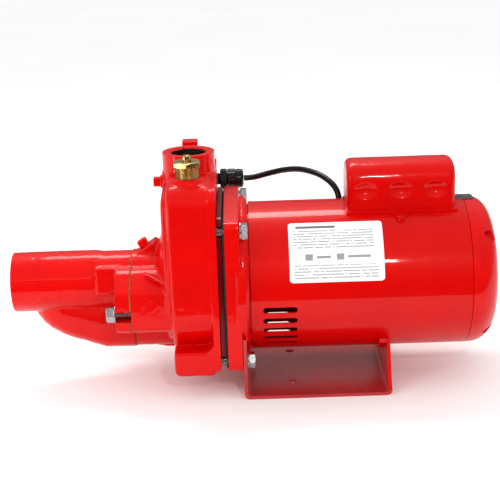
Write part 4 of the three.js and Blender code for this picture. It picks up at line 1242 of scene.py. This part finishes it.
def make_base():
    z0 = BASE_LOW.z
    x1 = BASE_HIGH.x
    taper = [(69, z0 + 6), (90, z0 + 6), (90, -40), (50, -40), (50, -52)]
    sides = [slab([(side * y, z) for y, z in taper], x1 - SHEET - 2, x1 + 2) for side in (-1, 1)]
    inner, outer = SHELL_R + 0.3, SHELL_R + 3.2
    band = turned([(x1 - 10, inner), (x1 - 10, outer), (x1, outer), (x1, inner)], 240)
    saddle = common(band, block(90, 140, -50, 50, -80, -40))
    body = weld(cut(bent_sheet(), *sides), saddle)
    holes = [rod_up(4.2, z0 - 1, z0 + 5, BASE_HOLE_X, y, 32) for y in (-BASE_HOLE_Y, BASE_HOLE_Y)]
    windows = [block(x1 - SHEET - 1, x1 + 1, *sorted((side * 41, side * 45)), -64, -60) for side in (-1, 1)]
    cut(
        body,
        rod(78.2, -12, 0, sides=128),
        rod(SHELL_R + 0.3, 90, 140, sides=240),
        *holes,
        *windows,
        *[rod(BOLT_HOLE_R, -10, 0, side * BOLT_Y, -BOLT_Z, 32) for side in (-1, 1)],
    )
    base = dress(rounded(body, 0.5, 2, 40), "motor_base")
    # Painted shade: the plate's top between the legs gets the darker red, for the shadow under the motor.
    bare_metal_or_painted_shade(base, "painted_shade_base_red", lambda p: z0 + 1 < p.z < z0 + 9 and BASE_LOW.x + 4 < p.x < x1 - 4)


# ---- Pressure switch, gland and lead ----
GLAND_Y = 97
GLAND_Z = 72.7


def make_gland():
    place = at(0, GLAND_Y, GLAND_Z)
    low, high = extent("gland_body")
    body = weld(
        threaded(6.15, 0.6, 1.5, low.x, high.x),
        hex_nut(18.7, -27.5, -20.5),
        hex_nut(16.6, -34.7, -31),
    )
    cut(body, rod(3.3, low.x - 1, high.x + 1, sides=32))
    dress(moved(body, place), "gland_body")
    nut_low, nut_high = extent("gland_nut")
    profile = [
        (nut_low.x, 9.6), (nut_low.x + 1, 10.3), (-12.4, 10.3), (-11.8, 9.3), (-11.2, 9.2), (-10.6, 9.9),
        (-5.4, 9.7), (-4.2, 8.8), (nut_high.x, 6.6),
    ]
    rings = []
    for x, radius in profile:
        grip = 0.5 if x < -12 else 0.12
        ring = []
        for i in range(FINE):
            a = 2 * pi * i / FINE
            r = radius - grip * (0.5 - 0.5 * cos(16 * a))
            ring.append((x, r * cos(a), r * sin(a)))
        rings.append(ring)
    nut = skin(rings)
    cut(
        nut,
        rod(6.5, nut_low.x - 1, nut_low.x + 0.6, sides=48),
        rod(3.3, nut_low.x - 1, nut_high.x + 1, sides=32),
    )
    dress(moved(nut, place), "gland_nut")


LEAD_POINTS = (
    (-3.1, 97, 72.7), (8, 97, 73.5), (22, 94, 77.5), (38, 84, 83), (54, 68, 87), (70, 49, 86.5),
    (80, 36, 82.5), (86, 27, 77), (88.5, 21.5, 70), (88.5, 20, 62),
)


def make_lead():
    dress(tube(LEAD_POINTS, 3, 10), "cable")


def make_switch():
    low, high = extent("switch_cover")
    cover = rounded(block(low.x, high.x, low.y, high.y, low.z - 4, high.z), 4, 4)
    skirt = block(low.x - 1, high.x + 1, low.y - 1, high.y + 1, low.z - 6, low.z)
    inside = block(low.x + 2, high.x - 2, low.y + 2, high.y - 2, low.z - 8, high.z - 2)
    cut(cover, skirt, rounded(inside, 2, 2), rod(6.6, high.x - 4, high.x + 2, GLAND_Y, GLAND_Z, 32))
    dress(cover, "switch_cover")
    base_low, base_high = extent("switch_base")
    floor_z = high.z - 58
    floor = rounded(block(low.x, high.x, low.y, high.y, floor_z, floor_z + 4), 1, 2)
    spud = upright(hex_nut(18, base_low.z, floor_z + 0.5), SWITCH_X, SWITCH_Y)
    works = rounded(block(low.x + 8, high.x - 12, low.y + 8, high.y - 8, floor_z + 3.5, base_high.z), 1, 2)
    weld(floor, spud, works)
    cut(floor, rod_up(6.8, base_low.z - 1, floor_z - 0.5, SWITCH_X, SWITCH_Y, 32))
    dress(floor, "switch_base")


def make_elbow():
    """A street elbow: a beaded socket towards the casing, a bend, and a threaded upper end."""
    low, high = extent("switch_elbow")
    socket = at(SWITCH_X, 0, SWITCH_PORT_Z) @ ONTO_Y
    tube_r = 8.2
    ball_r = 8.4
    bead_r = 9.4
    bend = SWITCH_Y
    arm = [(74.4, 0), (74.4, bead_r), (78, bead_r), (79, tube_r), (bend, tube_r), (bend, 0)]
    ball = [(bend + r, x) for x, r in arc(0, 0, ball_r, -80, 80, 12)]
    knee = [(bend - ball_r, 0)] + ball + [(bend + ball_r, 0)]
    riser = [(5, 0), (5, tube_r), (14, tube_r), (15, bead_r), (18.2, bead_r), (18.2, 0)]
    lying = [moved(turned(profile, 48), socket) for profile in (arm, knee)]
    body = cast(lying + [upright(turned(riser, 48), SWITCH_X, SWITCH_Y)], 0.8)
    inner = moved(threaded(6.4, 0.6, 1.4, low.y, 80), socket)
    upper = upright(threaded(6.4, 0.6, 1.4, 16, high.z), SWITCH_X, SWITCH_Y)
    dress(weld(body, inner, upper), "switch_elbow")


# ---- Foils on the shell ----
LABEL_X0 = 36.5
LABEL_X1 = 123.5
LABEL_TOP = 58.5
LABEL_BOTTOM = 11
FOIL_LIFT = 0.12
FOIL_THICK = 0.15
FOIL_STEPS = 40
PRINT_ROWS = 21
PRINT_COLUMNS = 58


def print_label():
    """White printed foil: a heading bar, rows of broken grey bars for small print, and two grey blocks."""
    tree, shader = plain_material("label_foil", (0.86, 0.87, 0.88), 0.35, Coat_Weight=0.3)
    split = node(tree, "SeparateXYZ")
    wire(node(tree, "UVMap").outputs["UV"], split.inputs["Vector"])
    across, up = split.outputs["X"], split.outputs["Y"]

    def math_node(operation, a, b=0.0):
        step = node(tree, "Math", operation=operation)
        for socket, value in ((0, a), (1, b)):
            if isinstance(value, (int, float)):
                step.inputs[socket].default_value = value
            else:
                wire(value, step.inputs[socket])
        return step.outputs["Value"]

    def both(a, b):
        return math_node("MULTIPLY", a, b)

    def either(a, b):
        return math_node("MAXIMUM", a, b)

    def inside(value, low, high):
        return both(math_node("GREATER_THAN", value, low), math_node("LESS_THAN", value, high))

    def area(bottom, top, left, right):
        return both(inside(up, bottom, top), inside(across, left, right))

    rows = both(up, PRINT_ROWS)
    row_line = inside(math_node("FRACT", rows), 0.3, 0.72)
    words = node(tree, "TexWhiteNoise", noise_dimensions="2D")
    cell = node(tree, "CombineXYZ")
    wire(math_node("FLOOR", both(across, PRINT_COLUMNS)), cell.inputs["X"])
    wire(math_node("FLOOR", rows), cell.inputs["Y"])
    wire(cell.outputs["Vector"], words.inputs["Vector"])
    printed = both(row_line, math_node("GREATER_THAN", words.outputs["Value"], 0.16))
    paragraphs = either(area(0.53, 0.86, 0.05, 0.9), area(0.05, 0.29, 0.05, 0.94))
    heading = area(0.885, 0.93, 0.08, 0.5)
    blocks = either(area(0.34, 0.44, 0.17, 0.25), area(0.34, 0.44, 0.5, 0.58))
    captions = either(area(0.37, 0.41, 0.29, 0.44), area(0.37, 0.41, 0.62, 0.86))
    text_ink = either(both(both(printed, paragraphs), 0.62), both(heading, 0.9))
    ink = either(text_ink, both(either(blocks, captions), 0.75))
    blend = node(tree, "Mix", data_type="RGBA")
    blend.inputs["A"].default_value = (0.86, 0.87, 0.89, 1)
    blend.inputs["B"].default_value = (0.06, 0.06, 0.07, 1)
    wire(ink, blend.inputs["Factor"])
    wire(blend.outputs["Result"], shader.inputs["Base Color"])
    bump(tree, shader, grain(tree, place_vector(tree), 900, 2), 0.00001)


def foil(x0, x1, bottom, top, corner):
    """A thin sheet with round corners that follows the shell between two angles."""
    radius = SHELL_R + FOIL_LIFT
    height = radians(top - bottom) * SHELL_R
    width = x1 - x0
    shares = [i / FOIL_STEPS for i in range(FOIL_STEPS + 1)]
    bm = bmesh.new()
    uv_layer = bm.loops.layers.uv.new("print")
    sheet = []
    for v in shares:
        to_edge = min(v, 1 - v) * height
        trim = corner - sqrt(max(corner ** 2 - max(corner - to_edge, 0) ** 2, 0))
        angle = radians(bottom + (top - bottom) * v)
        line = []
        for u in shares:
            x = x0 + trim + (width - 2 * trim) * u
            vertex = bm.verts.new((x, -radius * cos(angle), radius * sin(angle)))
            line.append((vertex, (x - x0) / width, v))
        sheet.append(line)
    for low_line, high_line in zip(sheet, sheet[1:]):
        for i in range(FOIL_STEPS):
            corners = (low_line[i], low_line[i + 1], high_line[i + 1], high_line[i])
            face = bm.faces.new([c[0] for c in corners])
            for loop, (_, u, v) in zip(face.loops, corners):
                loop[uv_layer].uv = (u, v)
    made = solid(bm)
    thick = made.modifiers.new("thick", "SOLIDIFY")
    thick.thickness = FOIL_THICK
    thick.offset = 1
    return settle(made)


def make_foils():
    """The rating label, and a dark grey foil on top of the shell behind the capacitor cover."""
    print_label()
    label = foil(LABEL_X0, LABEL_X1, LABEL_BOTTOM, LABEL_TOP, 2.5)
    plate = foil(160, 215, 84, 122, 4)
    for made, name, material in ((label, "shell_label", "label_foil"), (plate, "dark_top_sheet", "top_foil")):
        present(made, name, "pump", "sheet_red")
        paint(made, material)


# ---- CAD nodes that stay ----
def paint_frame():
    """Gives every CAD node its slot's material."""
    for name, made in frame["nodes"].items():
        paint(made, SLOT_OF[name])


make_camera()
make_studio()
make_floor()
paint_frame()
make_ejector()
make_ejector_gasket()
make_ejector_bolts()
make_casing()
make_plugs()
make_regulator()
make_joint_plates()
make_casing_bolts()
make_front_bell()
make_shell()
make_rear_bell()
make_through_bolts()
make_cover()
make_cover_screws()
make_base()
make_gland()
make_lead()
make_switch()
make_elbow()
make_foils()

bpy.context.scene.view_settings.view_transform = "Standard"
